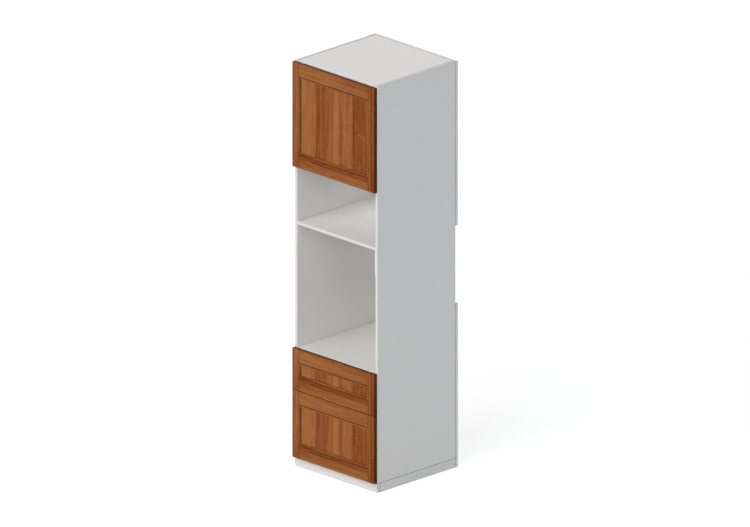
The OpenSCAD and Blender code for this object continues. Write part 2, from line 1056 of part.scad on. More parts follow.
module lower_box_back() {
    box_back(lower_front_z, lower_box_h);
}

module lower_box_bottom() {
    color(BOARD)
        bottom_space(lower_front_z, 0);
}

module lower_front_screws() {
    color(STEEL)
        at_front_screws(lower_front_z, lower_front_h)
            wood_screw(front_screw_l);
}

side_panel_left();
side_panel_right();
top_panel();
cupboard_floor();
niche_shelf();
oven_shelf();
bottom_panel();
back_panel_upper();
back_panel_lower();
adjustable_shelf();
shelf_pins();
plinth_front();
plinth_rear();
plinth_side_left();
plinth_side_right();
plinth_corner_blocks();
dowels();
cam_bolts();
cam_locks();
carcass_screws();
wall_brackets();
hinge_plates();
hinge_arms();
latch_housings();
runner_cabinet_members();
door_stile_left();
door_stile_right();
door_rail_top();
door_rail_bottom();
door_panel();
hinge_cups();
upper_front_stile_left();
upper_front_stile_right();
upper_front_rail_top();
upper_front_rail_bottom();
upper_front_panel();
upper_box_side_left();
upper_box_side_right();
upper_box_front();
upper_box_back();
upper_box_bottom();
upper_front_screws();
upper_drawer_members();
upper_middle_members();
lower_front_stile_left();
lower_front_stile_right();
lower_front_rail_top();
lower_front_rail_bottom();
lower_front_panel();
lower_box_side_left();
lower_box_side_right();
lower_box_front();
lower_box_back();
lower_box_bottom();
lower_front_screws();
lower_drawer_members();
lower_middle_members();
door_plunger();
upper_plunger();
lower_plunger();
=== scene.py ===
"""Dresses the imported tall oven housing: eased white boards, framed stained fronts and metal fittings."""

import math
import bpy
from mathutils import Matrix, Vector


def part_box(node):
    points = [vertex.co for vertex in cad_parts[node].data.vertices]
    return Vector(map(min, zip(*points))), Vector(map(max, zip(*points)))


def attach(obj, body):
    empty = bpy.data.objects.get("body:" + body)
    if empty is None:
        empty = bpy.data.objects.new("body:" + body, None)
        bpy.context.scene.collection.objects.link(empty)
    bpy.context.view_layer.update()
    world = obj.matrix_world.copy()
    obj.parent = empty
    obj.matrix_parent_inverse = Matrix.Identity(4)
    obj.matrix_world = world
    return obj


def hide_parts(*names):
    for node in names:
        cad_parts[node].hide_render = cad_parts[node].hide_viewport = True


bl_info = {
    "name": "Tall Oven Housing",
    "version": (1, 0, 0),
    "blender": (4, 5, 0),
    "location": "3D View > Sidebar > Oven Housing",
    "description": "Builds the boards, fronts, fittings and studio of a tall oven housing on its CAD frame",
    "category": "Object",
}

import bmesh
import bpy
from bpy.props import FloatProperty, FloatVectorProperty, PointerProperty
from mathutils import Matrix, Vector

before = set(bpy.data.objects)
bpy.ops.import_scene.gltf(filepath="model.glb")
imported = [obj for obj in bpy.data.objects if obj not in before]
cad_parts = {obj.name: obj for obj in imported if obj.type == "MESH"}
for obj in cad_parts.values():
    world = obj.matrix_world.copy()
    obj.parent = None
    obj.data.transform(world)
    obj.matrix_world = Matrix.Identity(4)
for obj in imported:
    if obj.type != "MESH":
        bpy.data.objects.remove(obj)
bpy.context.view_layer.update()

CARCASS_BOARDS = (
    "side_panel_left", "side_panel_right", "top_panel", "cupboard_floor", "niche_shelf", "oven_shelf",
    "bottom_panel", "back_panel_upper", "back_panel_lower", "adjustable_shelf",
)
PLINTH_BOARDS = ("plinth_front", "plinth_rear", "plinth_side_left", "plinth_side_right")
BOX_BOARDS = ("box_side_left", "box_side_right", "box_front", "box_back", "box_bottom")
FRONTS = {"door": "door", "upper_front": "upper_drawer", "lower_front": "lower_drawer"}


# ---- Colours, settings ---------------------------------------------------------------------

def linear(hex_colour, alpha=True):
    """An sRGB hex colour as linear values."""
    parts = [int(hex_colour[i:i + 2], 16) / 255 for i in (1, 3, 5)]
    values = [p / 12.92 if p <= 0.04045 else ((p + 0.055) / 1.055) ** 2.4 for p in parts]
    return (*values, 1.0) if alpha else tuple(values)


def colour_setting(name, description, hex_colour):
    """A property that holds a colour."""
    return FloatVectorProperty(name=name, description=description, subtype="COLOR", size=3,
                               min=0.0, max=1.0, default=linear(hex_colour, alpha=False))


def length_setting(name, description, millimetres):
    """A property that holds a length in metres, given in millimetres."""
    return FloatProperty(name=name, description=description, subtype="DISTANCE", unit="LENGTH",
                         min=0.0, default=millimetres / 1000)


def angle_setting(name, description, radians):
    """A property that holds an angle."""
    return FloatProperty(name=name, description=description, subtype="ANGLE", unit="ROTATION",
                         default=radians)


def light_setting(name, description, level, unit="NONE"):
    """A property that holds how strong a lamp is."""
    return FloatProperty(name=name, description=description, unit=unit, min=0.0, default=level)


class BoardSettings(bpy.types.PropertyGroup):
    """Sizes and colours of the white boards"""
    edge_radius: length_setting("Edge radius", "Rounding along the boards' edges", 1.5)
    sawn_line: length_setting("Sawn line", "Width of the line along the top panel's sawn ends", 2.2)
    edging_thickness: length_setting("Edging thickness", "Thickness of the boards' front edging", 1.0)
    white: colour_setting("Board white", "Colour of the melamine faces", "#DEDCD8")
    edging: colour_setting("Edging white", "Colour of the front edging", "#DCD9D4")
    # The arris line is partly the paper's edge and partly painted shade in the groove between boards
    arris: colour_setting("Arris", "Colour of the line where two melamine faces meet", "#7E7A75")
    core: colour_setting("Chipboard core", "Colour of the core inside drilled holes", "#B49A78")


class FrontSettings(bpy.types.PropertyGroup):
    """Sizes and colours of the framed fronts"""
    bead_width: length_setting("Moulding width", "Width of the moulding inside each frame", 12.0)
    bead_quirk: length_setting("Quirk", "Step down from the frame's face to the moulding", 1.2)
    bead_drop: length_setting("Moulding drop", "Height of the moulding's slope", 4.0)
    bead_crown: length_setting("Moulding crown", "How far the slope bulges at its middle", 0.5)
    groove_depth: length_setting("Groove depth", "Depth of the groove that holds the panel", 8.0)
    edge_radius: length_setting("Edge radius", "Rounding along the fronts' outer edges", 1.5)
    light: colour_setting("Light wood", "Colour of the lightest staves", "#A1673A")
    dark: colour_setting("Dark wood", "Colour of the darkest staves", "#783A12")
    # The stain's colour also paints shade in the moulding's lines and along the panel's left and lower edges
    stain: colour_setting("Settled stain", "Colour of the stain along edges and lines", "#140500")


class FittingSettings(bpy.types.PropertyGroup):
    """Sizes and colours of the fittings"""
    edge_radius: length_setting("Edge radius", "Rounding along the pressed metal's edges", 0.25)
    roll_radius: length_setting("Rolled edge", "Rounding along the runners' rolled edges", 0.5)
    head_radius: length_setting("Screw head", "Radius of the hinges' and runners' screw heads", 3.4)
    head_height: length_setting("Screw head height", "Height of those screw heads", 1.5)
    nickel: colour_setting("Nickel", "Colour of the nickel-plated fittings", "#CFCBC2")
    zinc: colour_setting("Zinc", "Colour of the zinc-plated runners, brackets and screws", "#BFC3C6")
    plastic: colour_setting("Latch plastic", "Colour of the push latches", "#8B8F93")
    beech: colour_setting("Beech", "Colour of the dowels and corner blocks", "#D2A878")


class StudioSettings(bpy.types.PropertyGroup):
    """Camera, lamps and floor"""
    azimuth: angle_setting("Azimuth", "Camera's turn from the front to the right side", math.radians(45.35))
    elevation: angle_setting("Elevation", "Camera's height above the horizon", math.asin(1 / 3))
    view_width: length_setting("View width", "Width of the camera's view", 3833.6)
    aim_height: length_setting("Aim height", "Height of the point that the camera looks at", 1100.0)
    key_strength: light_setting("Key strength", "Strength of the soft lamp in front", 2.20)
    fill_strength: light_setting("Fill strength", "Strength of the soft lamp beside the camera", 0.72)
    side_strength: light_setting("Side strength", "Strength of the soft lamp at the right", 0.47)
    rear_strength: light_setting("Rear strength", "Strength of the soft lamp opposite the camera", 1.41)
    top_strength: light_setting("Top strength", "Strength of the soft lamp overhead", 0.36)
    sky_strength: light_setting("Surround strength", "Strength of the light from all round", 0.13)
    niche_power: light_setting("Niche power", "Power of the lamp under the cupboard floor", 0.36, "POWER")
    warm: colour_setting("Warm light", "Colour of the lamp overhead", "#FFF2E2")
    cool: colour_setting("Cool light", "Colour of the side lamps and of the light from all round", "#EEF4FF")
    floor: colour_setting("Floor", "Colour of the studio floor", "#D9D9D9")


# ---- Material nodes ------------------------------------------------------------------------

# Nearly all of a noise texture's values lie between these
NOISE_SPAN = {"From Min": 0.3, "From Max": 0.7}


def add_node(tree, kind, inputs=None, **settings):
    """Adds a shader node. An input is a value, another node's output, or a node, which stands for its
    first output."""
    node = tree.nodes.new("ShaderNode" + kind)
    for name, value in settings.items():
        setattr(node, name, value)
    for name, value in (inputs or {}).items():
        source = value.outputs[0] if isinstance(value, bpy.types.Node) else value
        if isinstance(source, bpy.types.NodeSocket):
            tree.links.new(source, node.inputs[name])
        else:
            node.inputs[name].default_value = source
    return node


def new_material(name):
    """An empty node material and its tree, or None for the tree where the material is already made."""
    found = bpy.data.materials.get(name)
    if found:
        return found, None
    material = bpy.data.materials.new(name)
    material.use_nodes = True
    material.node_tree.nodes.clear()
    return material, material.node_tree


def shade(colour, level=1.0):
    """A colour at a share of its brightness, as a node takes it."""
    return (colour[0] * level, colour[1] * level, colour[2] * level, 1.0)


def output(tree, shader):
    """Leads a shader to the material's surface."""
    add_node(tree, "OutputMaterial", {"Surface": shader})


def melamine(settings, name="melamine_faced_board", colour=None, roughness=0.5):
    """Melamine-faced chipboard, pressed on a pearl plate: an even warm white with a soft, broken sheen."""
    material, tree = new_material(name)
    if tree is None:
        return material
    colour = colour or settings.white
    place = add_node(tree, "TexCoord").outputs["Object"]
    # The plate's pearl is 0.6 mm across; it is drawn at 5 mm, so that it shows from a few steps away
    pearl = add_node(tree, "TexNoise", {"Vector": place, "Scale": 1 / 0.005, "Detail": 2.0, "Roughness": 0.6})
    # The white drifts a little over 350 mm
    cloud = add_node(tree, "TexNoise", {"Vector": place, "Scale": 1 / 0.35, "Detail": 3.0, "Roughness": 0.55})
    shift = add_node(tree, "MapRange", {"Value": cloud, **NOISE_SPAN})
    tint = add_node(tree, "Mix", {0: shift, 6: shade(colour, 0.985), 7: shade(colour)}, data_type="RGBA")
    gloss = add_node(tree, "MapRange", {"Value": pearl, **NOISE_SPAN,
                                        "To Min": roughness - 0.05, "To Max": roughness + 0.07})
    bump = add_node(tree, "Bump", {"Height": pearl, "Strength": 0.12, "Distance": 0.0002})
    output(tree, add_node(tree, "BsdfPrincipled", {
        "Base Color": tint.outputs[2], "Roughness": gloss, "Normal": bump,
        "IOR": 1.5, "Specular IOR Level": 0.35}))
    return material


def abs_edging(settings):
    """Extruded ABS edging, ironed on: the boards' white, a little smoother and shinier."""
    return melamine(settings, "abs_edging", tuple(settings.edging), 0.42)


def melamine_arris(settings):
    """The arris where two melamine faces meet: a fine darker line, partly the resin paper's grey-brown edge
    and partly painted shade for the groove where two boards meet.
    The real line is 0.3 mm wide; it covers the whole rounding, so that it shows."""
    return melamine(settings, "melamine_arris", tuple(settings.arris), 0.6)


def chipboard_core(settings):
    """Cut chipboard inside the drilled holes: pale resin-bound chips, rough, with no sheen."""
    material, tree = new_material("cut_chipboard")
    if tree is None:
        return material
    place = add_node(tree, "TexCoord").outputs["Object"]
    # Chips are 1 to 3 mm across
    chips = add_node(tree, "TexVoronoi", {"Vector": place, "Scale": 1 / 0.002, "Randomness": 1.0})
    tint = add_node(tree, "Mix", {0: chips, 6: shade(settings.core),
                                  7: shade(settings.core, 0.45)}, data_type="RGBA")
    bump = add_node(tree, "Bump", {"Height": chips, "Strength": 0.6, "Distance": 0.0004})
    output(tree, add_node(tree, "BsdfPrincipled", {
        "Base Color": tint.outputs[2], "Roughness": 0.9, "Normal": bump, "Specular IOR Level": 0.2}))
    return material


# Marks in the wood: a pin knot in the panel, the pale streak that runs from it, and a mark in the right
# stile. Where each lies from the front's lower left corner, its half widths across and along the grain, its
# lean in degrees, its strength and the setting that holds its colour
WOOD_MARKS = (
    (0.4565, 0.292, 0.012, 0.007, 0.0, 0.62, "stain"),
    (0.4940, 0.282, 0.040, 0.007, 14.0, 0.80, "light"),
    (0.5770, 0.107, 0.014, 0.005, -8.0, 0.45, "stain"),
)
# A mark runs right through the wood
MARK_DEPTH = 1000.0


def stained_walnut(settings):
    """Walnut staves, sanded, stained red-brown and lacquered matt: upright fibres, lighter and darker staves,
    stain that has settled darker along the edges, painted shade in the moulding's lines and along the panel's
    left and lower edges, and painted light and shade on the moulding's sides."""
    material, tree = new_material("stained_walnut")
    if tree is None:
        return material
    # grain_place counts from each front's lower left corner: x across the grain, y through it, z along it
    place = add_node(tree, "Attribute", attribute_name="grain_place").outputs["Vector"]
    # The tone also holds the painted light and shade on the moulding's sides
    tone = add_node(tree, "Attribute", attribute_name="stave_tone").outputs["Fac"]
    # This mask holds the stain on the edges and joints, and painted shade in the moulding's lines and along
    # the panel's left and lower edges
    stain = add_node(tree, "Attribute", attribute_name="settled_stain").outputs["Fac"]
    # The fibres wander 6 mm sideways over 300 mm of length
    sway_at = add_node(tree, "Mapping", {"Vector": place, "Scale": (1 / 0.12, 1 / 0.12, 1 / 0.3)})
    sway = add_node(tree, "TexNoise", {"Vector": sway_at, "Scale": 1.0, "Detail": 1.0})
    offset = add_node(tree, "VectorMath", {0: sway.outputs["Color"], 1: (0.012, 0.012, 0.0)},
                      operation="MULTIPLY")
    wandering = add_node(tree, "VectorMath", {0: place, 1: offset}, operation="ADD")
    # Growth bands 18 mm wide and 0.4 m long
    band_at = add_node(tree, "Mapping", {"Vector": wandering, "Scale": (1 / 0.018, 1 / 0.018, 1 / 0.4)})
    bands = add_node(tree, "TexNoise", {"Vector": band_at, "Scale": 1.0, "Detail": 3.0, "Roughness": 0.55})
    # Fibre bundles are 0.5 mm wide; they are drawn 5 mm wide and 100 mm long, so that they show
    fibre_at = add_node(tree, "Mapping", {"Vector": wandering, "Scale": (1 / 0.005, 1 / 0.005, 1 / 0.1)})
    fibres = add_node(tree, "TexNoise", {"Vector": fibre_at, "Scale": 1.0, "Detail": 5.0, "Roughness": 0.66})
    # Pores are 0.2 mm wide and 5 mm long; they are drawn 0.7 mm wide and 14 mm long
    pore_at = add_node(tree, "Mapping", {"Vector": wandering, "Scale": (1 / 0.0007, 1 / 0.0007, 1 / 0.014)})
    pore_noise = add_node(tree, "TexNoise", {"Vector": pore_at, "Scale": 1.0, "Detail": 1.0})
    pores = add_node(tree, "MapRange", {"Value": pore_noise, "From Min": 0.60, "From Max": 0.74,
                                        "To Min": 0.0, "To Max": 0.5})
    # Cross figure: light flecks 45 mm long and 12 mm high that lean across the fibres
    fleck_at = add_node(tree, "Mapping", {"Vector": place, "Rotation": (0.0, math.radians(24), 0.0),
                                          "Scale": (1 / 0.045, 1 / 0.045, 1 / 0.012)})
    flecks = add_node(tree, "TexNoise", {"Vector": fleck_at, "Scale": 1.0, "Detail": 2.0})
    level = tone
    for part, depth in ((bands, 1.4), (fibres, 1.6), (flecks, 0.45)):
        centred = add_node(tree, "Math", {0: part, 1: depth, 2: -depth / 2}, operation="MULTIPLY_ADD")
        level = add_node(tree, "Math", {0: level, 1: centred}, operation="ADD")
    bounded = add_node(tree, "Clamp", {"Value": level, "Min": -0.08, "Max": 1.4})
    wood = add_node(tree, "Mix", {0: bounded, 6: shade(settings.dark), 7: shade(settings.light)},
                    data_type="RGBA", clamp_factor=False, clamp_result=True)
    marked = add_node(tree, "Mix", {0: pores, 6: wood.outputs[2], 7: shade(settings.stain)},
                      data_type="RGBA").outputs[2]
    for across, along, half_across, half_along, lean, strength, tint in WOOD_MARKS:
        moved = add_node(tree, "Mapping", {"Vector": place, "Location": (-across, 0.0, -along)})
        near = add_node(tree, "Mapping", {"Vector": moved, "Rotation": (0.0, math.radians(lean), 0.0),
                                          "Scale": (half_across, MARK_DEPTH, half_along)},
                        vector_type="TEXTURE")
        reach = add_node(tree, "VectorMath", {0: near}, operation="LENGTH")
        mark = add_node(tree, "MapRange", {"Value": reach.outputs["Value"], "From Min": 1.0, "From Max": 0.1,
                                           "To Min": 0.0, "To Max": strength},
                        interpolation_type="SMOOTHSTEP")
        marked = add_node(tree, "Mix", {0: mark, 6: marked, 7: shade(getattr(settings, tint))},
                          data_type="RGBA").outputs[2]
    # Lays on the stain, and the painted shade in the lines
    stained_and_shaded = add_node(tree, "Mix", {0: stain, 6: marked, 7: shade(settings.stain)}, data_type="RGBA")
    gloss = add_node(tree, "MapRange", {"Value": fibres, **NOISE_SPAN, "To Min": 0.5, "To Max": 0.62})
    bump = add_node(tree, "Bump", {"Height": fibres, "Strength": 0.15, "Distance": 0.0003})
    output(tree, add_node(tree, "BsdfPrincipled", {
        "Base Color": stained_and_shaded.outputs[2], "Roughness": gloss, "Normal": bump,
        "IOR": 1.5, "Specular IOR Level": 0.06}))
    return material


def planed_beech(settings):
    """Planed beech, unfinished: pale pinkish wood with short dark ray flecks along the grain."""
    material, tree = new_material("planed_beech")
    if tree is None:
        return material
    place = add_node(tree, "TexCoord").outputs["Object"]
    # Ray flecks are 0.3 mm wide and 3 mm long; they are drawn 0.8 mm wide and 4 mm long
    fleck_at = add_node(tree, "Mapping", {"Vector": place, "Scale": (1 / 0.004, 1 / 0.0008, 1 / 0.0008)})
    flecks = add_node(tree, "TexNoise", {"Vector": fleck_at, "Scale": 1.0, "Detail": 2.0})
    dots = add_node(tree, "MapRange", {"Value": flecks, "From Min": 0.5, "From Max": 0.72,
                                       "To Min": 0.0, "To Max": 0.5})
    tint = add_node(tree, "Mix", {0: dots, 6: shade(settings.beech),
                                  7: shade(settings.beech, 0.5)}, data_type="RGBA")
    bump = add_node(tree, "Bump", {"Height": flecks, "Strength": 0.2, "Distance": 0.0002})
    output(tree, add_node(tree, "BsdfPrincipled", {
        "Base Color": tint.outputs[2], "Roughness": 0.65, "Normal": bump, "Specular IOR Level": 0.3}))
    return material


def nickel_plate(settings):
    """Die-cast zinc, tumbled and nickel-plated: a warm bright metal whose sheen breaks up in a fine satin."""
    material, tree = new_material("nickel_plated_zinc")
    if tree is None:
        return material
    place = add_node(tree, "TexCoord").outputs["Object"]
    # Tumbling marks 1 mm across
    satin = add_node(tree, "TexNoise", {"Vector": place, "Scale": 1 / 0.001, "Detail": 3.0})
    gloss = add_node(tree, "MapRange", {"Value": satin, **NOISE_SPAN, "To Min": 0.22, "To Max": 0.36})
    cloud = add_node(tree, "TexNoise", {"Vector": place, "Scale": 1 / 0.03, "Detail": 2.0})
    tint = add_node(tree, "Mix", {0: cloud, 6: shade(settings.nickel, 0.88),
                                  7: shade(settings.nickel)}, data_type="RGBA")
    bump = add_node(tree, "Bump", {"Height": satin, "Strength": 0.08, "Distance": 0.0001})
    output(tree, add_node(tree, "BsdfPrincipled", {
        "Base Color": tint.outputs[2], "Metallic": 1.0, "Roughness": gloss, "Normal": bump}))
    return material


def zinc_plate(settings):
    """Rolled steel, zinc-plated: cool grey metal with a faint spangle and rolling lines along its length."""
    material, tree = new_material("zinc_plated_steel")
    if tree is None:
        return material
    place = add_node(tree, "TexCoord").outputs["Object"]
    # Spangle 8 mm across, and rolling lines 0.4 mm apart drawn at 1 mm
    spangle = add_node(tree, "TexVoronoi", {"Vector": place, "Scale": 1 / 0.008})
    line_at = add_node(tree, "Mapping", {"Vector": place, "Scale": (1 / 0.001, 1 / 0.12, 1 / 0.001)})
    lines = add_node(tree, "TexNoise", {"Vector": line_at, "Scale": 1.0, "Detail": 2.0})
    grey = add_node(tree, "RGBToBW", {"Color": spangle.outputs["Color"]})
    tint = add_node(tree, "Mix", {0: grey, 6: shade(settings.zinc, 0.8),
                                  7: shade(settings.zinc)}, data_type="RGBA")
    gloss = add_node(tree, "MapRange", {"Value": lines, **NOISE_SPAN, "To Min": 0.28, "To Max": 0.46})
    bump = add_node(tree, "Bump", {"Height": lines, "Strength": 0.06, "Distance": 0.0001})
    output(tree, add_node(tree, "BsdfPrincipled", {
        "Base Color": tint.outputs[2], "Metallic": 1.0, "Roughness": gloss, "Normal": bump}))
    return material


def moulded_acetal(settings):
    """Injection-moulded acetal: a smooth grey plastic, waxy, with a very fine spark-eroded grain."""
    material, tree = new_material("moulded_acetal")
    if tree is None:
        return material
    place = add_node(tree, "TexCoord").outputs["Object"]
    # Spark grain 0.3 mm across
    grain = add_node(tree, "TexNoise", {"Vector": place, "Scale": 1 / 0.0003, "Detail": 1.0})
    flow = add_node(tree, "TexNoise", {"Vector": place, "Scale": 1 / 0.012, "Detail": 1.0})
    tint = add_node(tree, "Mix", {0: flow, 6: shade(settings.plastic, 0.9),
                                  7: shade(settings.plastic)}, data_type="RGBA")
    bump = add_node(tree, "Bump", {"Height": grain, "Strength": 0.2, "Distance": 0.0001})
    output(tree, add_node(tree, "BsdfPrincipled", {
        "Base Color": tint.outputs[2], "Roughness": 0.38, "Normal": bump, "IOR": 1.48}))
    return material


# ---- Mesh helpers --------------------------------------------------------------------------

# A point closer than this to a plane counts as on it
NEAR = 1e-4
# A face whose normal has a part of at least this along an axis counts as square to it
ALONG_AXIS = 0.9999
# How far a cutting outline stands off the node's own faces, so that no two faces coincide
OUTLINE_GROWTH = Vector((2e-5, 2e-5, 2e-5))
# A pan head's profile, its recess's two crossed bars and their floor, as shares of its radius and height
HEAD_PROFILE = ((0.0, 0.0), (0.94, 0.0), (1.0, 0.12), (1.0, 0.4), (0.93, 0.68), (0.72, 0.88), (0.4, 0.98),
                (0.0, 1.0))
RECESS_BARS = ((0.13, 0.6), (0.6, 0.13))
RECESS_FLOOR = 0.3
# Edges of a turned part's facets are flatter than this, and a fitting's edges that get eased are sharper
FACET_ANGLE = math.radians(13)
SHARP_ANGLE = math.radians(30)
# Faces of a fitting that meet flatter than this become one before its edges are eased
FLAT_ANGLE = math.radians(0.5)


def block(low, high):
    """A closed block between two corners."""
    bm = bmesh.new()
    centre, size = (Vector(low) + Vector(high)) / 2, Vector(high) - Vector(low)
    bmesh.ops.create_cube(bm, size=1.0, matrix=Matrix.LocRotScale(centre, None, size))
    return bm


def ease(bm, edges, radius, segments=3):
    """Rounds the edges."""
    bmesh.ops.bevel(bm, geom=list(edges), offset=radius, offset_type="OFFSET", affect="EDGES",
                    segments=segments, profile=0.5, material=-1, clamp_overlap=True)


def slice_mesh(bm, axis, places):
    """Cuts the mesh's faces across one axis without opening it."""
    normal = Vector([1.0 if i == axis else 0.0 for i in range(3)])
    for at in places:
        bmesh.ops.bisect_plane(bm, geom=bm.verts[:] + bm.edges[:] + bm.faces[:], dist=1e-7,
                               plane_co=normal * at, plane_no=normal)


def node_copy(node):
    """A merged copy of a CAD node's mesh."""
    bm = bmesh.new()
    bm.from_mesh(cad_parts[node].data)
    bmesh.ops.remove_doubles(bm, verts=bm.verts, dist=2e-6)
    return bm


def mesh_object(bm, name):
    """Links a bmesh as an object at the origin and frees the bmesh."""
    mesh = bpy.data.meshes.new(name)
    bm.to_mesh(mesh)
    bm.free()
    obj = bpy.data.objects.new(name, mesh)
    bpy.context.scene.collection.objects.link(obj)
    return obj


def combine(first, second, operation):
    """A new bmesh of the volume that two closed ones share (INTERSECT), or of the first less the second
    (DIFFERENCE). Both are freed."""
    kept, cutter = mesh_object(first, "kept_volume"), mesh_object(second, "cutting_volume")
    boolean = kept.modifiers.new("combined", "BOOLEAN")
    boolean.operation, boolean.solver, boolean.object = operation, "EXACT", cutter
    bm = bmesh.new()
    bm.from_object(kept, bpy.context.evaluated_depsgraph_get())
    for obj in (kept, cutter):
        mesh = obj.data
        bpy.data.objects.remove(obj)
        bpy.data.meshes.remove(mesh)
    if not bm.faces:
        raise RuntimeError("nothing is left of two combined volumes")
    return bm


def join(bm, *others):
    """Adds other bmeshes to the first and frees them."""
    for other in others:
        mesh = bpy.data.meshes.new("joined_part")
        other.to_mesh(mesh)
        other.free()
        bm.from_mesh(mesh)
        bpy.data.meshes.remove(mesh)
    return bm


def turned(profile, steps=32):
    """A closed turned form: a profile of radii and heights, from pole to pole, spun round the z axis."""
    bm = bmesh.new()
    verts = [bm.verts.new((radius, 0.0, height)) for radius, height in profile]
    edges = [bm.edges.new(pair) for pair in zip(verts, verts[1:])]
    bmesh.ops.spin(bm, geom=verts + edges, cent=(0.0, 0.0, 0.0), axis=(0.0, 0.0, 1.0), angle=math.tau,
                   steps=steps, use_merge=True)
    bmesh.ops.remove_doubles(bm, verts=bm.verts, dist=1e-7)
    bmesh.ops.recalc_face_normals(bm, faces=bm.faces)
    return bm


def screw_head(radius, height):
    """A pan head with a cross recess: its seat is at z = 0 and its crown is up."""
    bm = turned([(across * radius, up * height) for across, up in HEAD_PROFILE])
    for across, along in RECESS_BARS:
        bar = block((-across * radius, -along * radius, RECESS_FLOOR * height),
                    (across * radius, along * radius, 2 * height))
        bm = combine(bm, bar, "DIFFERENCE")
    return bm


def copies(pattern, places, towards):
    """A copy of a bmesh at each place, its z axis turned towards a direction; the pattern is freed."""
    turn = Vector((0.0, 0.0, 1.0)).rotation_difference(Vector(towards)).to_matrix().to_4x4()
    bm = bmesh.new()
    for place in places:
        part = pattern.copy()
        bmesh.ops.transform(part, matrix=Matrix.Translation(place) @ turn, verts=part.verts)
        join(bm, part)
    pattern.free()
    return bm


def is_flat(face):
    """Whether a face lies square to an axis."""
    return max(abs(c) for c in face.normal) >= ALONG_AXIS


def round_curved_faces(bm, turned_parts=False):
    """Shades flat faces flat, unless they are facets of a turned part, and all others smooth."""
    for face in bm.faces:
        facet = turned_parts and any(1e-3 < edge.calc_face_angle(0.0) < FACET_ANGLE for edge in face.edges)
        face.smooth = facet or not is_flat(face)


def finish_piece(bm, name, body, materials, nodes=(), turned_parts=False):
    """Closes the mesh, hangs it on its body and gives it its materials."""
    bmesh.ops.remove_doubles(bm, verts=bm.verts, dist=1e-6)
    bmesh.ops.dissolve_degenerate(bm, edges=bm.edges, dist=1e-6)
    bmesh.ops.recalc_face_normals(bm, faces=bm.faces)
    round_curved_faces(bm, turned_parts)
    obj = mesh_object(bm, name)
    for material in materials:
        obj.data.materials.append(material)
    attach(obj, body)
    if nodes:
        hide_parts(*nodes)
    return obj


def dress_node(node, material):
    """Gives a CAD node that stays its material."""
    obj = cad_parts[node]
    for slot in obj.material_slots:
        slot.material = material
    if not obj.material_slots:
        obj.data.materials.append(material)


# ---- Boards --------------------------------------------------------------------------------

def eased_board(node, body, settings, edging=False, sawn_ends=False):
    """A board with rounded edges and its drilled holes, its front edge banded where edging is true.
    Sawn ends show the cut paper's line beside the rounding: 0.3 mm wide, drawn wider so that it shows."""
    low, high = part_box(node)
    radius = settings.edge_radius
    outline = block(low - OUTLINE_GROWTH, high + OUTLINE_GROWTH)
    ease(outline, outline.edges, radius)
    bm = combine(node_copy(node), outline, "INTERSECT")
    band = low.y + max(settings.edging_thickness, radius + NEAR)
    if edging:
        slice_mesh(bm, 1, [band])
    sawn = radius + settings.sawn_line if sawn_ends else 0.0
    if sawn_ends:
        slice_mesh(bm, 0, [low.x + sawn, high.x - sawn])
    for face in bm.faces:
        centre = face.calc_center_median()
        inside = min(min(centre[i] - low[i], high[i] - centre[i]) for i in range(3))
        in_sawn_line = face.normal.z > 0.5 and min(centre.x - low.x, high.x - centre.x) < sawn
        if inside > 1.05 * radius:
            face.material_index = 3
        elif edging and centre.y < band:
            face.material_index = 1
        # Roundings take the arris line, partly the paper's edge and partly painted shade
        elif in_sawn_line or not is_flat(face):
            face.material_index = 2
        else:
            face.material_index = 0
    # In the order of the indices above: faces, edging, arrises and sawn lines, drilled holes
    materials = [melamine(settings), abs_edging(settings), melamine_arris(settings), chipboard_core(settings)]
    finish_piece(bm, node + "_board", body, materials, [node])


class OVENHOUSING_OT_carcass(bpy.types.Operator):
    """Builds the carcass boards with eased edges, front edging and drilled holes"""
    bl_idname = "ovenhousing.carcass"
    bl_label = "Carcass Boards"

    def execute(self, context):
        for node in CARCASS_BOARDS:
            eased_board(node, "carcass", context.scene.oven_boards, edging=not node.startswith("back_panel"),
                        sawn_ends=node == "top_panel")
        return {"FINISHED"}


class OVENHOUSING_OT_plinth(bpy.types.Operator):
    """Builds the four plinth boards"""
    bl_idname = "ovenhousing.plinth"
    bl_label = "Plinth"

    def execute(self, context):
        for node in PLINTH_BOARDS:
            eased_board(node, "carcass", context.scene.oven_boards)
        return {"FINISHED"}


class OVENHOUSING_OT_drawer_boxes(bpy.types.Operator):
    """Builds both drawers' box boards"""
    bl_idname = "ovenhousing.drawer_boxes"
    bl_label = "Drawer Boxes"

    def execute(self, context):
        for drawer in ("upper", "lower"):
            for board in BOX_BOARDS:
                eased_board(f"{drawer}_{board}", f"{drawer}_drawer", context.scene.oven_boards)
        return {"FINISHED"}


# ---- Framed fronts -------------------------------------------------------------------------

# Panel staves from left to right: where each ends, in metres from the middle, and its tone at its two edges
STAVES = ((-0.133, 0.98, 0.80), (-0.060, 0.30, 0.46), (-0.004, 0.52, 0.64), (0.030, 0.96, 0.86),
          (0.056, 0.52, 0.56), (0.134, 0.66, 0.70), (0.300, 0.16, 0.36))
# Tones of the frame's bars: at both ends of the outer edge, then at both ends of the edge next to the panel
BAR_TONES = {"stile_left": (0.54, 0.74, 0.46, 0.66), "stile_right": (-0.06, 0.20, 0.00, 0.14),
             "rail_top": (0.66, 0.34, 0.92, 0.72), "rail_bottom": (0.98, 0.96, 0.06, 0.12)}
# A bar's tone changes fast next to its outer edge and slowly towards the panel
TONE_CURVE = 0.6
# A streak of lighter sapwood up the right stile: where it starts and ends beside the inner edge, and its tone
SAPWOOD = (0.0065, 0.0145, 0.66)
# Painted light and shade on the moulding: how much lighter or darker each side's slope is than the bar beside
# it, as light falls on it
MOULDING_PAINTED_LIGHT = {"stile_left": -0.28, "stile_right": 0.55, "rail_top": 0.0, "rail_bottom": 0.40}
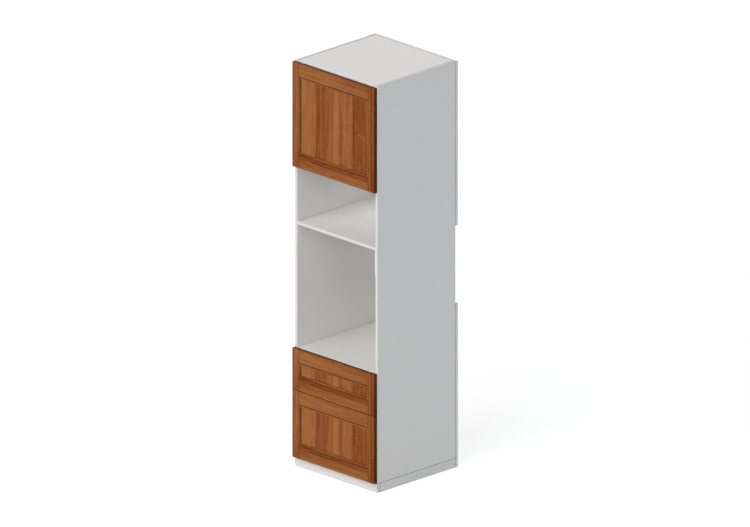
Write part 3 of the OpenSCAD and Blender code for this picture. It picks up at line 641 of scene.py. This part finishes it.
# Painted shade in the moulding's lines, where shade falls at the foot of each step: next to the frame's face,
# then next to the panel
PAINTED_LINE_SHADE = {"stile_left": (0.30, 1.0), "stile_right": (0.0, 0.0), "rail_top": (0.95, 0.0),
              "rail_bottom": (0.6, 0.42)}
LINE_WIDTH = 0.0023
# Stain at the rails' ends, where they meet the left and the right stile, and how far it reaches
JOINT_STAIN = (0.9, 0.1)
JOINT_REACH = 0.0035
# Stain on the fronts' edges, and how far round the edge the face still has none
EDGE_STAIN = 0.62
FACE_REACH = 2e-4
# Painted shade along the panel's left edge (the lower edge takes the bottom rail's painted line shade), and
# the width of the panel's lines
PAINTED_PANEL_SHADE = 0.6
PANEL_LINE = 0.0008
# Rounding along the panel's hidden edges
PANEL_EASE = 0.0006
# Rails come from another part of the wood than stiles, and bottom rails from yet another
RAIL_SHIFT = 0.9
BOTTOM_RAIL_SHIFT = 0.6
# Chamfer along the moulding's rear inner edge
BACK_CHAMFER = 0.0012
# A bar is cut this far from the moulding, so that their faces don't coincide
BAR_SLACK = 5e-5


class FrontShape:
    """The corners and widths of one framed front, from its CAD nodes."""

    def __init__(self, name, settings):
        stile_low, stile_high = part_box(name + "_stile_left")
        rail_low, rail_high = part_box(name + "_rail_bottom")
        self.low, self.high = stile_low.copy(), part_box(name + "_stile_right")[1].copy()
        self.stile = stile_high.x - stile_low.x - settings.bead_width
        self.rail = rail_high.z - rail_low.z - settings.bead_width
        self.panel_low, self.panel_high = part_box(name + "_panel")

    def bar_tone(self, part, co):
        """A stile's or rail's tone at a point, blended from the tones at its corners."""
        spot, size = co - self.low, self.high - self.low
        along, across, width = (2, 0, self.stile) if part.startswith("stile") else (0, 2, self.rail)
        share = spot[along] / size[along]
        inward = min(spot[across], size[across] - spot[across]) / width
        start, end, inner_start, inner_end = BAR_TONES[part]
        outer, inner = start + (end - start) * share, inner_start + (inner_end - inner_start) * share
        return outer + (inner - outer) * max(0.0, min(inward, 1.0)) ** TONE_CURVE


def mark_wood(bm, shape, upright, tone_at, stain_and_shade_at, across_shift=0.0):
    """Writes where each corner lies in the wood, its tone with any painted light, and how much stain and
    painted shade lie there.
    """
    place = bm.loops.layers.float_vector.new("grain_place")
    # The tone layer also holds painted light and shade on the moulding; the stain layer also holds painted
    # shade in the lines
    tone = bm.loops.layers.float.new("stave_tone")
    stain = bm.loops.layers.float.new("settled_stain")
    for face in bm.faces:
        centre = face.calc_center_median()
        runs_up = upright(centre)
        for loop in face.loops:
            spot = loop.vert.co - shape.low
            loop[place] = spot if runs_up else (spot.z + RAIL_SHIFT + across_shift, spot.y, spot.x)
            loop[tone] = tone_at(loop.vert.co, centre)
            loop[stain] = stain_and_shade_at(loop.vert.co, centre)


def frame_bar(name, part, body, shape, settings):
    """One stile or rail up to the moulding, cut from its CAD node so that its drilled holes stay."""
    low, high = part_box(f"{name}_{part}")
    upright = part.startswith("stile")
    axis = 0 if upright else 2
    inner = {"stile_left": shape.low.x + shape.stile, "stile_right": shape.high.x - shape.stile,
             "rail_bottom": shape.low.z + shape.rail, "rail_top": shape.high.z - shape.rail}[part]
    if part in ("stile_left", "rail_bottom"):
        outer = shape.low[axis]
        high[axis] = inner - BAR_SLACK
    else:
        outer = shape.high[axis]
        low[axis] = inner + BAR_SLACK
    outline = block(low - OUTLINE_GROWTH, high + OUTLINE_GROWTH)
    # A stile is eased all round, but a rail only outside: its ends stay square, where they meet the stiles
    eased = []
    for edge in outline.edges:
        outside = all(abs(vert.co[axis] - outer) < NEAR for vert in edge.verts)
        on_face = abs(edge.verts[0].co.y - edge.verts[1].co.y) < NEAR
        if outside and on_face or upright and (outside or on_face):
            eased.append(edge)
    ease(outline, eased, settings.edge_radius)
    bm = combine(node_copy(f"{name}_{part}"), outline, "INTERSECT")
    # Painted shade goes in the line beside the moulding, the joint's end grain takes more stain, and the tone
    # turns most near the edge
    away = math.copysign(LINE_WIDTH, outer - inner)
    slice_mesh(bm, axis, [inner + away, inner + 0.5 * away, outer + 0.3 * (inner - outer)])
    if not upright:
        slice_mesh(bm, 0, [low.x + JOINT_REACH, high.x - JOINT_REACH])
    if part == "stile_right":
        slice_mesh(bm, 0, [inner + SAPWOOD[0], inner + SAPWOOD[1]])

    def tone_at(co, centre):
        if part == "stile_right" and SAPWOOD[0] < centre.x - inner < SAPWOOD[1]:
            return SAPWOOD[2]
        return shape.bar_tone(part, co)

    def stain_and_shade_at(co, centre):
        if abs(co[axis] - outer) < NEAR or upright and min(co.z - low.z, high.z - co.z) < NEAR:
            return EDGE_STAIN
        # Painted shade in the line beside the moulding
        reach = abs(co[axis] - inner) / LINE_WIDTH
        if reach < 0.9:
            return PAINTED_LINE_SHADE[part][0] * min(1.0, 2 - 2 * reach)
        if not upright and min(co.x - low.x, high.x - co.x) < NEAR:
            return JOINT_STAIN[co.x > 0.0]
        on_face = min(co.y - shape.low.y, shape.high.y - co.y) < FACE_REACH
        return 0.0 if on_face else EDGE_STAIN

    mark_wood(bm, shape, lambda centre: upright, tone_at, stain_and_shade_at,
              0.0 if part == "rail_top" else BOTTOM_RAIL_SHIFT)
    finish_piece(bm, f"{name}_{part}_bar", body,
                 [stained_walnut(settings)], [f"{name}_{part}"])


def line_fade(reach):
    """How much of a line's painted shade is left at a distance in line widths: all of it at 1, and none from
    2 on.
    """
    return max(0.0, min(1.0, 2 - reach))


def moulding(name, body, shape, settings):
    """The mitred moulding round the panel: its section stands at the four corners and is bridged round."""
    width, quirk, drop = settings.bead_width, settings.bead_quirk, settings.bead_drop
    panel_y, panel_back = shape.panel_low.y - shape.low.y, shape.panel_high.y - shape.low.y
    depth = shape.high.y - shape.low.y
    crown, line = settings.bead_crown, LINE_WIDTH
    # From the frame's face the slope falls and bulges to the panel, in shares of the moulding's drop
    front = [(0.0, quirk), (line, quirk + 0.12 * drop), (2 * line, quirk + 0.26 * drop - 0.8 * crown),
             (width / 2, quirk + 0.5 * drop - crown), (width - 2 * line, quirk + 0.74 * drop - 0.8 * crown),
             (width - line, quirk + 0.9 * drop), (width, quirk + drop)]
    groove = width - settings.groove_depth
    section = front + [(width, panel_y), (groove, panel_y), (groove, panel_back), (width, panel_back),
                       (width, depth - BACK_CHAMFER), (width - BACK_CHAMFER, depth), (0.0, depth)]
    x = (shape.low.x + shape.stile, shape.high.x - shape.stile)
    z = (shape.low.z + shape.rail, shape.high.z - shape.rail)
    bm = bmesh.new()
    loops = []
    for right, top in ((0, 0), (1, 0), (1, 1), (0, 1)):
        ring = []
        for inward, back in section:
            in_x, in_z = (1 - 2 * right) * inward, (1 - 2 * top) * inward
            ring.append(bm.verts.new((x[right] + in_x, shape.low.y + back, z[top] + in_z)))
        loops.append([bm.edges.new((ring[i], ring[(i + 1) % len(ring)])) for i in range(len(ring))])
    for i in range(4):
        bmesh.ops.bridge_loops(bm, edges=loops[i] + loops[(i + 1) % 4])
    bm.normal_update()
    centre_x, centre_z = sum(x) / 2, sum(z) / 2

    def bar(centre):
        beside = min(centre.x - x[0], x[1] - centre.x) < min(centre.z - z[0], z[1] - centre.z)
        if beside:
            return "stile_left" if centre.x < centre_x else "stile_right"
        return "rail_bottom" if centre.z < centre_z else "rail_top"

    def tone_at(co, centre):
        # Each side of the moulding is painted lighter or darker, as light falls on its slope
        return shape.bar_tone(bar(centre), co) + MOULDING_PAINTED_LIGHT[bar(centre)]

    def stain_and_shade_at(co, centre):
        part = bar(centre)
        inward = {"stile_left": co.x - x[0], "stile_right": x[1] - co.x,
                  "rail_bottom": co.z - z[0], "rail_top": z[1] - co.z}[part]
        back = co.y - shape.low.y
        if back > panel_y + NEAR:
            return 0.0 if back > depth - NEAR else EDGE_STAIN
        # Painted shade at the foot of each step of the slope
        at_face, at_panel = PAINTED_LINE_SHADE[part]
        return at_face * line_fade(inward / line) + at_panel * line_fade((width - inward) / line)

    mark_wood(bm, shape, lambda centre: bar(centre).startswith("stile"), tone_at, stain_and_shade_at)
    finish_piece(bm, name + "_moulding", body, [stained_walnut(settings)])


def panel(name, body, shape, settings):
    """The flat panel of glued staves, held in the moulding's groove."""
    low, high = shape.panel_low, shape.panel_high
    bm = block(low, high)
    ease(bm, bm.edges, PANEL_EASE, 2)
    left = shape.low.x + shape.stile + settings.bead_width
    bottom = shape.low.z + shape.rail + settings.bead_width
    slice_mesh(bm, 0, [left + PANEL_LINE, left + 2 * PANEL_LINE] + [stave[0] for stave in STAVES[:-1]])
    slice_mesh(bm, 2, [bottom + 2 * PANEL_LINE, bottom + 4 * PANEL_LINE])

    def tone_at(co, centre):
        start = low.x
        for end, first, last in STAVES:
            if centre.x < end:
                share = (co.x - start) / (min(end, high.x) - start)
                return first + (last - first) * share
            start = end
        return last

    def stain_and_shade_at(co, centre):
        if centre.y > (low.y + high.y) / 2:
            return 0.0
        # Painted shade along the panel's left and lower edges
        beside = PAINTED_PANEL_SHADE * line_fade((co.x - left) / PANEL_LINE)
        below = PAINTED_LINE_SHADE["rail_bottom"][1] * line_fade((co.z - bottom) / (2 * PANEL_LINE))
        return max(beside, below)

    mark_wood(bm, shape, lambda centre: True, tone_at, stain_and_shade_at)
    finish_piece(bm, name + "_framed_panel", body, [stained_walnut(settings)],
                 [name + "_panel"])


class OVENHOUSING_OT_fronts(bpy.types.Operator):
    """Builds the framed door and the two framed drawer fronts"""
    bl_idname = "ovenhousing.fronts"
    bl_label = "Framed Fronts"

    def execute(self, context):
        settings = context.scene.oven_fronts
        for name, body in FRONTS.items():
            shape = FrontShape(name, settings)
            for part in ("stile_left", "stile_right", "rail_top", "rail_bottom"):
                frame_bar(name, part, body, shape, settings)
            moulding(name, body, shape, settings)
            panel(name, body, shape, settings)
        return {"FINISHED"}


# ---- Fittings ------------------------------------------------------------------------------

RIGHTWARDS, LEFTWARDS, REARWARDS = (1.0, 0.0, 0.0), (-1.0, 0.0, 0.0), (0.0, 1.0, 0.0)
# Length of a hinge arm's flat bar, and its adjusting screws: their places along it, how deep their seat lies
# in it, their radius and height
ARM_BAR = 0.066
ARM_SCREWS = (0.3, 0.75)
ARM_SCREW_SEAT = 0.002
ARM_SCREW_SIZE = (0.0022, 0.0013)
# How far the screws of a mounting plate and of a cup lie above and below its middle
PLATE_SCREW_RISE = 0.016
CUP_SCREW_RISE = 0.024
# A cup's screw heads are flatter than the others
CUP_HEAD_SHARE = 0.7
# A plunger's rounded nose as shares of its radius and heights, and the heights of a groove's four corners
PLUNGER_NOSE = ((0.0, 0.0), (0.55, 0.0001), (0.82, 0.0005), (0.96, 0.0013), (1.0, 0.0024))
PLUNGER_GROOVE = ((1.0, 0.0060), (0.86, 0.0066), (0.86, 0.0074), (1.0, 0.0080))
GROOVE_STEP = 0.004
PLUNGER_CHAMFER = 0.0005
# Places of the screws and the slots along a runner member, and how deep a screw head's seat lies in it
RUNNER_SCREWS = (0.08, 0.36, 0.64, 0.92)
RUNNER_SLOTS = (0.2, 0.5, 0.8)
HEAD_SEAT = 0.0012
# Half length and half height of a slot in the middle members and in the others
MIDDLE_SLOT = (0.030, 0.006)
OTHER_SLOT = (0.006, 0.003)
# A slot's ends are all but half circles
SLOT_ROUNDING = 0.98
# Half length and half width of a bar of a cam's cross recess, and its depth
CAM_RECESS = (0.0045, 0.0007)
CAM_RECESS_DEPTH = 0.0014
# How far a cutter reaches out of the piece that it cuts
CUTTER_REACH = 0.001


def eased_fitting(node, body, material, radius, cutters=(), parts=()):
    """A fitting with rounded edges, less what its cutters take, with small parts added. It replaces its
    CAD node."""
    bm = node_copy(node)
    for cutter in cutters:
        bm = combine(bm, cutter, "DIFFERENCE")
    bmesh.ops.dissolve_limit(bm, angle_limit=FLAT_ANGLE, verts=bm.verts, edges=bm.edges)
    ease(bm, [e for e in bm.edges if e.is_manifold and e.calc_face_angle(0.0) > SHARP_ANGLE], radius, 2)
    join(bm, *parts)
    finish_piece(bm, node + "_finished", body, [material], [node], turned_parts=True)


def loose_parts(node):
    """The boxes of a CAD node's separate solids, as pairs of corners, always in the same order."""
    bm = node_copy(node)
    left, boxes = set(bm.verts), []
    while left:
        reached = [left.pop()]
        corners = []
        while reached:
            vert = reached.pop()
            corners.append(vert.co)
            near = [edge.other_vert(vert) for edge in vert.link_edges]
            reached += [v for v in near if v in left]
            left.difference_update(near)
        boxes.append([Vector([pick(c[i] for c in corners) for i in range(3)]) for pick in (min, max)])
    bm.free()
    return sorted(boxes, key=lambda box: tuple(box[0]))


class OVENHOUSING_OT_hinges(bpy.types.Operator):
    """Builds the two cup hinges: pressed cups, arms with adjusting screws, and screwed mounting plates"""
    bl_idname = "ovenhousing.hinges"
    bl_label = "Hinges"

    def execute(self, context):
        settings = context.scene.oven_fittings
        plate, radius = nickel_plate(settings), settings.edge_radius
        head, height = settings.head_radius, settings.head_height
        arm_screws, plate_screws, cup_screws = [], [], []
        for low, high in loose_parts("hinge_arms"):
            bar_front, middle = high.y - ARM_BAR, (low.z + high.z) / 2
            seat = high.x - ARM_SCREW_SEAT
            arm_screws += [(seat, bar_front + share * ARM_BAR, middle) for share in ARM_SCREWS]
        for low, high in loose_parts("hinge_plates"):
            middle = (low + high) / 2
            plate_screws += [(high.x, middle.y, middle.z + side * PLATE_SCREW_RISE) for side in (-1, 1)]
        for low, high in loose_parts("hinge_cups"):
            middle = (low + high) / 2
            cup_screws += [(middle.x, high.y, middle.z + side * CUP_SCREW_RISE) for side in (-1, 1)]
        eased_fitting("hinge_arms", "carcass", plate, radius,
                      parts=[copies(screw_head(*ARM_SCREW_SIZE), arm_screws, RIGHTWARDS)])
        eased_fitting("hinge_plates", "carcass", plate, radius,
                      parts=[copies(screw_head(head, height), plate_screws, RIGHTWARDS)])
        eased_fitting("hinge_cups", "door", plate, radius,
                      parts=[copies(screw_head(head, CUP_HEAD_SHARE * height), cup_screws, REARWARDS)])
        return {"FINISHED"}


class OVENHOUSING_OT_latches(bpy.types.Operator):
    """Builds the push latches' housings and their round-nosed plungers"""
    bl_idname = "ovenhousing.latches"
    bl_label = "Push Latches"

    def execute(self, context):
        settings = context.scene.oven_fittings
        plastic = moulded_acetal(settings)
        eased_fitting("latch_housings", "carcass", plastic, settings.edge_radius)
        for node in ("door_plunger", "upper_plunger", "lower_plunger"):
            low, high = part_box(node)
            radius, length = (high.x - low.x) / 2, high.y - low.y
            # The nose is rounded, and two shallow grooves run round the stem behind it
            profile = [(share * radius, rise) for share, rise in PLUNGER_NOSE + PLUNGER_GROOVE]
            profile += [(share * radius, rise + GROOVE_STEP) for share, rise in PLUNGER_GROOVE]
            profile += [(radius, length - PLUNGER_CHAMFER), (radius - PLUNGER_CHAMFER, length), (0.0, length)]
            middle = (low + high) / 2
            bm = copies(turned(profile), [(middle.x, low.y, middle.z)], REARWARDS)
            finish_piece(bm, node + "_turned", node, [plastic], [node], turned_parts=True)
        return {"FINISHED"}


class OVENHOUSING_OT_runners(bpy.types.Operator):
    """Builds the drawer runners: rolled channels with slotted holes, and the screws that hold them"""
    bl_idname = "ovenhousing.runners"
    bl_label = "Drawer Runners"

    def execute(self, context):
        settings = context.scene.oven_fittings
        plate, radius = zinc_plate(settings), settings.roll_radius
        head, height = settings.head_radius, settings.head_height
        members = {"runner_cabinet_members": "carcass"}
        for drawer in ("upper", "lower"):
            members[f"{drawer}_middle_members"] = f"{drawer}_runner_middle"
            members[f"{drawer}_drawer_members"] = f"{drawer}_drawer"
        for node, body in members.items():
            slots, heads = [], {RIGHTWARDS: [], LEFTWARDS: []}
            half_length, half_height = MIDDLE_SLOT if "middle" in node else OTHER_SLOT
            for low, high in loose_parts(node):
                middle, length, at_right = (low + high) / 2, high.y - low.y, low.x > 0
                side = 1 if at_right else -1
                for share in RUNNER_SCREWS:
                    at = low.y + share * length
                    if node == "runner_cabinet_members":
                        seat = (high.x if at_right else low.x) - side * HEAD_SEAT
                        heads[LEFTWARDS if at_right else RIGHTWARDS].append((seat, at, middle.z))
                    elif node.endswith("_drawer_members"):
                        seat = (low.x if at_right else high.x) + side * HEAD_SEAT
                        heads[RIGHTWARDS if at_right else LEFTWARDS].append((seat, at, middle.z))
                for share in RUNNER_SLOTS:
                    at = low.y + share * length
                    slot = block((low.x - CUTTER_REACH, at - half_length, middle.z - half_height),
                                 (high.x + CUTTER_REACH, at + half_length, middle.z + half_height))
                    through = [e for e in slot.edges if abs(e.verts[0].co.x - e.verts[1].co.x) > NEAR]
                    ease(slot, through, SLOT_ROUNDING * half_height, 6)
                    slots.append(slot)
            parts = [copies(screw_head(head, height), places, towards)
                     for towards, places in heads.items() if places]
            eased_fitting(node, body, plate, radius, [join(*slots)], parts)
        return {"FINISHED"}


class OVENHOUSING_OT_fixings(bpy.types.Operator):
    """Builds the cam locks, shelf pins, brackets and corner blocks, and dresses dowels, bolts and screws"""
    bl_idname = "ovenhousing.fixings"
    bl_label = "Fixings"

    def execute(self, context):
        settings = context.scene.oven_fittings
        nickel, zinc, beech = nickel_plate(settings), zinc_plate(settings), planed_beech(settings)
        radius = settings.edge_radius
        # A cross recess in each cam's face: one pass for each of its two bars
        bars = []
        for half_x, half_y in (CAM_RECESS, CAM_RECESS[::-1]):
            cutters = []
            for low, high in loose_parts("cam_locks"):
                middle = (low + high) / 2
                cutters.append(block((middle.x - half_x, middle.y - half_y, low.z - CUTTER_REACH),
                                     (middle.x + half_x, middle.y + half_y, low.z + CAM_RECESS_DEPTH)))
            bars.append(join(*cutters))
        eased_fitting("cam_locks", "carcass", nickel, radius, bars)
        eased_fitting("shelf_pins", "carcass", nickel, radius)
        eased_fitting("wall_brackets", "carcass", zinc, radius)
        eased_fitting("plinth_corner_blocks", "carcass", beech, 4 * radius)
        for node in ("carcass_screws", "upper_front_screws", "lower_front_screws"):
            dress_node(node, zinc)
        dress_node("cam_bolts", nickel)
        dress_node("dowels", beech)
        return {"FINISHED"}


# ---- Studio --------------------------------------------------------------------------------

# Clouds in the floor's paint, in patches per metre
FLOOR_CLOUDS = 0.7
# What the camera sees of the floor: the light that it gives back, which keeps the shadow, over an even glow
FLOOR_REFLECTS, FLOOR_GLOWS = 0.3, 0.77
FLOOR_RADIUS = 16.0
CAMERA_DISTANCE = 12
CAMERA_REACH = 60.0
# Where the key lamp and the side lamp stand, seen from the unit, and how large each sun looks
KEY_FROM = Vector((0.0, -0.839, 0.545))
SIDE_FROM = Vector((0.94, 0.0, 0.342))
SUN_ANGLE = math.radians(60)
# The niche lamp: its shares of the cupboard floor's width and depth, its drop below it and its spread
NICHE_LAMP_SHARES = (0.72, 0.5)
NICHE_LAMP_DROP = 0.004
NICHE_LAMP_SPREAD = math.radians(125)
WHITE = (1.0, 1.0, 1.0)


def seen_directly(tree):
    """A node that is 1 where the camera sees the surface itself or in a gloss, and 0 for all other light."""
    path = add_node(tree, "LightPath")
    return add_node(tree, "Math", {0: path.outputs["Is Camera Ray"], 1: path.outputs["Is Glossy Ray"]},
                    operation="MAXIMUM")


def stand_facing(towards):
    """The turn of a lamp or camera that stands in a direction and looks back."""
    return towards.to_track_quat("Z", "Y").to_matrix().to_4x4()


def studio_floor(settings):
    """Painted studio floor: a pale matt sheet that shows white to the camera and keeps the soft shadow."""
    material, tree = new_material("painted_studio_floor")
    if tree is None:
        return material
    place = add_node(tree, "TexCoord").outputs["Object"]
    cloud = add_node(tree, "TexNoise", {"Vector": place, "Scale": FLOOR_CLOUDS, "Detail": 2.0})
    tint = add_node(tree, "Mix", {0: cloud, 6: shade(settings.floor, 0.99),
                                  7: shade(settings.floor)}, data_type="RGBA")
    paint = add_node(tree, "BsdfDiffuse", {"Color": tint.outputs[2], "Roughness": 0.5})
    thin = add_node(tree, "BsdfDiffuse", {"Color": shade(WHITE, FLOOR_REFLECTS), "Roughness": 0.5})
    glow = add_node(tree, "Emission", {"Color": shade(WHITE), "Strength": FLOOR_GLOWS})
    shown = add_node(tree, "AddShader", {0: thin, 1: glow})
    output(tree, add_node(tree, "MixShader", {0: seen_directly(tree), 1: paint, 2: shown}))
    return material


class OVENHOUSING_OT_studio(bpy.types.Operator):
    """Sets up the camera, the soft light, the surround and the floor"""
    bl_idname = "ovenhousing.studio"
    bl_label = "Studio"

    def execute(self, context):
        settings, scene = context.scene.oven_studio, context.scene
        aim = Vector((0.0, 0.0, settings.aim_height))
        flat = math.cos(settings.elevation)
        towards = Vector((flat * math.sin(settings.azimuth), -flat * math.cos(settings.azimuth),
                          math.sin(settings.elevation)))
        lens = bpy.data.cameras.new("studio_camera")
        lens.type, lens.ortho_scale, lens.clip_end = "ORTHO", settings.view_width, CAMERA_REACH
        camera = bpy.data.objects.new("studio_camera", lens)
        scene.collection.objects.link(camera)
        camera.matrix_world = Matrix.Translation(aim + CAMERA_DISTANCE * towards) @ stand_facing(towards)
        scene.camera = camera

        opposite = Vector((-towards.x, -towards.y, towards.z))
        for name, energy, colour, source in (
                ("key_lamp", settings.key_strength, WHITE, KEY_FROM),
                ("fill_lamp", settings.fill_strength, settings.cool, towards),
                ("side_lamp", settings.side_strength, settings.cool, SIDE_FROM),
                ("rear_lamp", settings.rear_strength, settings.cool, opposite),
                ("top_lamp", settings.top_strength, settings.warm, Vector((0.0, 0.0, 1.0)))):
            light = bpy.data.lights.new(name, "SUN")
            light.energy, light.angle, light.color = energy, SUN_ANGLE, colour
            lamp = bpy.data.objects.new(name, light)
            scene.collection.objects.link(lamp)
            lamp.matrix_world = stand_facing(source)
            lamp.visible_glossy = name not in ("key_lamp", "rear_lamp")

        # The door shades the microwave niche, so a soft sheet of light hangs under the cupboard floor's rear
        low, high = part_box("cupboard_floor")
        light = bpy.data.lights.new("niche_lamp", "AREA")
        light.shape, light.energy, light.color = "RECTANGLE", settings.niche_power, settings.cool
        light.size = NICHE_LAMP_SHARES[0] * (high.x - low.x)
        light.size_y = NICHE_LAMP_SHARES[1] * (high.y - low.y)
        light.spread = NICHE_LAMP_SPREAD
        lamp = bpy.data.objects.new("niche_lamp", light)
        scene.collection.objects.link(lamp)
        lamp.location = ((low.x + high.x) / 2, high.y - light.size_y / 2, low.z - NICHE_LAMP_DROP)
        lamp.visible_camera = lamp.visible_glossy = False

        world = bpy.data.worlds.new("studio_surround")
        world.use_nodes = True
        tree = world.node_tree
        tree.nodes.clear()
        sky = add_node(tree, "Background", {"Color": shade(settings.cool), "Strength": settings.sky_strength})
        white = add_node(tree, "Background", {"Color": shade(WHITE), "Strength": 1.0})
        mixed = add_node(tree, "MixShader", {0: seen_directly(tree), 1: sky, 2: white})
        add_node(tree, "OutputWorld", {"Surface": mixed})
        scene.world = world

        bm = bmesh.new()
        bmesh.ops.create_circle(bm, cap_ends=True, segments=96, radius=FLOOR_RADIUS)
        floor = mesh_object(bm, "studio_floor")
        floor.data.materials.append(studio_floor(settings))
        scene.view_settings.view_transform = "Standard"
        return {"FINISHED"}


class OVENHOUSING_PT_sidebar(bpy.types.Panel):
    """Lists the housing's settings and operators"""
    bl_label = "Oven Housing"
    bl_idname = "OVENHOUSING_PT_sidebar"
    bl_space_type = "VIEW_3D"
    bl_region_type = "UI"
    bl_category = "Oven Housing"

    def draw(self, context):
        for title, group, operators in PANEL_ROWS:
            column = self.layout.column(align=True)
            column.label(text=title)
            settings = getattr(context.scene, group)
            for name in settings.bl_rna.properties.keys():
                if name not in ("rna_type", "name"):
                    column.prop(settings, name)
            for operator in operators:
                column.operator(operator)


PANEL_ROWS = (
    ("Boards", "oven_boards", ("ovenhousing.carcass", "ovenhousing.plinth", "ovenhousing.drawer_boxes")),
    ("Fronts", "oven_fronts", ("ovenhousing.fronts",)),
    ("Fittings", "oven_fittings",
     ("ovenhousing.hinges", "ovenhousing.latches", "ovenhousing.runners", "ovenhousing.fixings")),
    ("Studio", "oven_studio", ("ovenhousing.studio",)),
)
SETTINGS = {"oven_boards": BoardSettings, "oven_fronts": FrontSettings, "oven_fittings": FittingSettings,
            "oven_studio": StudioSettings}
CLASSES = (*SETTINGS.values(), OVENHOUSING_OT_carcass, OVENHOUSING_OT_plinth, OVENHOUSING_OT_drawer_boxes,
           OVENHOUSING_OT_fronts, OVENHOUSING_OT_hinges, OVENHOUSING_OT_latches, OVENHOUSING_OT_runners,
           OVENHOUSING_OT_fixings, OVENHOUSING_OT_studio, OVENHOUSING_PT_sidebar)


def register():
    """Registers the classes and hangs the settings on the scene."""
    for cls in CLASSES:
        bpy.utils.register_class(cls)
    for name, group in SETTINGS.items():
        setattr(bpy.types.Scene, name, PointerProperty(type=group))


def unregister():
    """Takes the settings off the scene and unregisters the classes."""
    for name in SETTINGS:
        delattr(bpy.types.Scene, name)
    for cls in reversed(CLASSES):
        bpy.utils.unregister_class(cls)


def main():
    """Builds the studio and all pieces."""
    register()
    bpy.ops.ovenhousing.studio()
    bpy.ops.ovenhousing.carcass()
    bpy.ops.ovenhousing.plinth()
    bpy.ops.ovenhousing.drawer_boxes()
    bpy.ops.ovenhousing.fronts()
    bpy.ops.ovenhousing.hinges()
    bpy.ops.ovenhousing.latches()
    bpy.ops.ovenhousing.runners()
    bpy.ops.ovenhousing.fixings()


if __name__ == "__main__":
    main()
